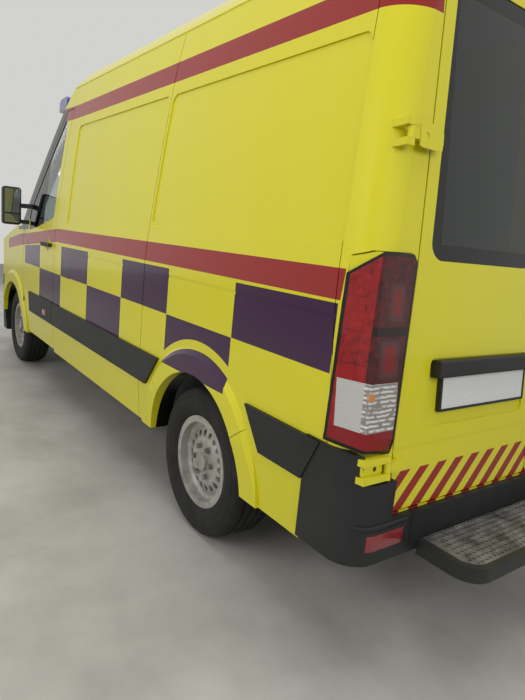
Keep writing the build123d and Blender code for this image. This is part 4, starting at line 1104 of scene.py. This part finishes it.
for side_name, middle in (("left", 0.440), ("right", -0.430)):
    for pad_name, pad in seat_pads.items():
        length, width, height = pad["size"]
        lean = radians(pad["lean"])
        half = (length / 2, width / 2, (height - pad["crown"] - bolster_rise) / 2)
        along_pad = Vector((cos(lean), 0, sin(lean)))
        off_pad = Vector((sin(lean), 0, -cos(lean)))
        foot = Vector((station(pad["foot"][0]), middle, pad["foot"][1]))
        shape = bmesh.new()
        cube_grid(shape, pad["cells"])
        for vertex in shape.verts:
            vertex.co = soft_point(vertex.co, half, pad["crown"], pad["flutes"])
        piping(shape, half, pad["crown"])
        for vertex in shape.verts:
            x, y, z = vertex.co
            vertex.co = foot + along_pad * (x + half[0]) + off_pad * (z + half[2]) - Vector((0, y, 0))
        name = f"{pad_name}_{side_name}"
        piece = finished(name, to_mesh(name, shape), seat_cloth, "body")
        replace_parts(piece, "seats")
    plinth = block(bmesh.new(), (station(plinth_back), middle - plinth_half, seat_floor),
                   (station(plinth_front), middle + plinth_half, plinth_top))
    name = "seat_plinth_" + side_name
    mesh = to_mesh(name, bevelled(plinth, plinth_round, 4))
    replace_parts(finished(name, mesh, plinth_plastic, "body"), "seats")
    posts = bmesh.new()
    for post_side in (-1, 1):
        spot = (station(post_place), middle + post_side * post_apart, post_level)
        bmesh.ops.create_cone(
            posts, cap_ends=True, segments=16, radius1=post_radius, radius2=post_radius,
            depth=post_length, matrix=Matrix.Translation(spot),
        )
    name = "head_posts_" + side_name
    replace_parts(finished(name, to_mesh(name, posts), rim_silver, "body"), "seats")

# %% [markdown]
# ## Door mirrors
# The mirror glass is float glass silvered behind, so it is a nearly perfect reflector in a black housing.

# %% Mirror glass
silvered, tree, shader, _, _ = mottled("silvered_mirror_glass", "75797C", "84888B", 25, 4, 0.5, (0, 1))
fill(tree, shader, {"Metallic": 1, "Roughness": 0.03})
mirror_back = station(3.152)
mirror_inner, mirror_outer = 1.076, 1.200
for name, z_low, z_high in (("mirror_glass", 1.440, 1.640), ("lower_mirror_glass", 1.356, 1.428)):
    pane = block(bmesh.new(), (mirror_back - 0.002, mirror_inner, z_low),
                 (mirror_back + 0.001, mirror_outer, z_high))
    both_sides(name, to_mesh(name, bevelled(pane, 0.001, 2)), silvered, "cab_door_SIDE")

# %% [markdown]
# ## Wipers
# Each wiper is a rubber blade in a folded steel bridge on a sprung arm. They rest along the foot of the
# windscreen, so their points are found on the glass itself and lifted off it by a few millimetres.

# %% Wipers


def on_screen(y, z, lift):
    """A point over the windscreen and the way out of the glass there."""
    start = Vector((station(6.0), y, z))
    _, spot, normal, _ = nodes["windscreen"].ray_cast(start, Vector((-1, 0, 0)))
    normal = normal if normal.x > 0 else -normal
    return spot + normal * lift, normal


def swept_bar(shape, points, half_width, half_height):
    """A bar with a rectangular section that narrows at its ends, along points with their normals."""
    loops = []
    for i, (spot, normal) in enumerate(points):
        ahead = points[min(i + 1, len(points) - 1)][0] - points[max(i - 1, 0)][0]
        side = ahead.cross(normal).normalized()
        taper = 0.6 if i in (0, len(points) - 1) else 1.0
        loops.append([
            spot + side * half_width * taper * a + normal * half_height * taper * b
            for a, b in ((-1, -1), (1, -1), (1, 1), (-1, 1))
        ])
    skin(shape, loops, capped=True)


satin_black = dusty_metal("satin_black_wiper_steel", "141516", "2A2B2B", 0.2, 0.45, 40)
blade_length = 0.56
blade_foot, blade_climb = 1.425, 0.012
pivot_level, arm_end_level = 1.388, 1.472

# Each bar's lift off the glass, with its half width and half height
blade_lift, blade_half = 0.006, (0.005, 0.005)
bridge_lift, bridge_half = 0.016, (0.007, 0.004)
arm_lift, arm_half = 0.024, (0.009, 0.005)
hub_lift, hub_half, hub_drop = 0.014, (0.016, 0.016), 0.002
hub_left, hub_right = Vector((0, 0.014, 0)), Vector((0, -0.016, 0))
for side_name, pivot_y, blade_start in (("left", 0.70, 0.60), ("right", 0.10, 0.0)):
    name = "wiper_" + side_name
    shape = bmesh.new()
    stops = [(blade_start - blade_length * i / 8, blade_foot + blade_climb * i) for i in range(9)]
    swept_bar(shape, [on_screen(y, z, blade_lift) for y, z in stops], *blade_half)
    swept_bar(shape, [on_screen(y, z, bridge_lift) for y, z in stops[1:8]], *bridge_half)
    arm_y = blade_start - blade_length / 2 - pivot_y
    arm_z = arm_end_level - pivot_level
    arm = [on_screen(pivot_y + arm_y * i / 5, pivot_level + arm_z * i / 5, arm_lift) for i in range(6)]
    swept_bar(shape, arm, *arm_half)
    hub, normal = on_screen(pivot_y, pivot_level - hub_drop, hub_lift)
    swept_bar(shape, [(hub + hub_left, normal), (hub + hub_right, normal)], *hub_half)
    finished(name, to_mesh(name, shape), satin_black, "body", False)

# %% [markdown]
# ## Light bar
# Two blue polycarbonate domes on a black base. The domes are ribbed inside to spread the light.

# %% Light bar
dome_base, middle_half, end_seam = 2.287, 0.13, (0.478, 0.486)
dome, tree, shader, place = new_material("blue_ribbed_polycarbonate")
_, _, out, high = measures(tree, place)
ribs = add(tree, "TexWave", {"Vector": place, "Scale": 34}, bands_direction="Y").outputs[1]
base_part = either(
    tree, between(tree, high, 0.0, dome_base), between(tree, out, -1.0, middle_half),
    between(tree, out, *end_seam),
)
fill(tree, shader, {"Base Color": layered(tree, "0E2A8C", (ribs, "1B4BC4"), (base_part, "191A1C"))})
textured(tree, shader, ribs, 0.3, 0.001, Roughness=0.16, Coat_Weight=1)
dress(dome, "light_bar")

# %% [markdown]
# ## Head lamps
# Under one clear cover sit a chrome bowl for the dipped beam, one for the main beam, and an amber one for
# the turn signal at the outer end. Rings mark the bowls' steps.

# %% Head lamps
bowls = [(0.800, 0.978, 0.062, "E4E6E8"), (0.660, 0.935, 0.052, "D5D7D9"), (0.925, 1.035, 0.040, "D98A2B")]
bowl_rim, lamp_half, ring_turns = 0.006, 0.012, 600.0
head_lens, tree, shader, place = new_material("clear_cover_over_chrome")
_, _, out, high = measures(tree, place)
facets = add(tree, "TexVoronoi", {"Vector": place, "Scale": 90})
colour = layered(tree, "3B3E42", (facets, "6C7074"))
for y, z, radius, tint in bowls:
    away = reach(tree, (y, z), out, high)
    ring = add(tree, "Math", [away, ring_turns], operation="MULTIPLY")
    wave = add(tree, "Math", [ring], operation="SINE")
    shade = add(tree, "MapRange", {0: wave, 1: -1.0, 2: 1.0, 3: 0.0, 4: 0.7})
    rim = between(tree, away, radius - bowl_rim, radius)
    bulb = between(tree, away, -1.0, lamp_half)
    bowl = layered(tree, tint, (shade, "7C7F82"), (bulb, "F4F2EA"), (rim, "2A2C2E"))
    colour = layered(tree, colour, (between(tree, away, -1.0, radius), bowl))
fill(tree, shader, {"Base Color": colour, "Roughness": 0.12, "Metallic": 0.25, "Coat Weight": 1})
dress(head_lens, "headlamps")

# %% [markdown]
# ## Blank plate
# A registration plate is aluminium under white retroreflective film, with a pressed border. Its characters
# are left off. Tiny glass beads in the film give it a fine, even speckle.

# %% Blank plate
plate_film, tree, shader, place = new_material("retroreflective_film_on_aluminium")
beads = add(tree, "TexVoronoi", {"Vector": place, "Scale": 900})
cells = add(tree, "TexVoronoi", {"Vector": place, "Scale": 120}, distance="CHEBYCHEV")
fill(tree, shader, {"Base Color": layered(tree, "D3D5D4", (cells, "E2E3E2"))})
textured(tree, shader, beads, 0.2, 0.0003, Roughness=0.35)
dress(plate_film, "plate")

plate_centre, plate_level = 0.352, 0.951
border_half, pressed_width = (0.2555, 0.0515), 0.003
sunk, raised = 0.004, 0.0058
loops = []
for inward, off in ((0, sunk), (0, raised), (pressed_width, raised), (pressed_width, sunk)):
    half_y, half_z = border_half[0] - inward, border_half[1] - inward
    loops.append([
        tail_point(off, plate_centre + y * half_y, plate_level, z * half_z)
        for y, z in ((1, 1), (-1, 1), (-1, -1), (1, -1))
    ])
border = to_mesh("plate_border", skin(bmesh.new(), loops))
finished("plate_border", border, black_plastic, "rear_door_left", False)
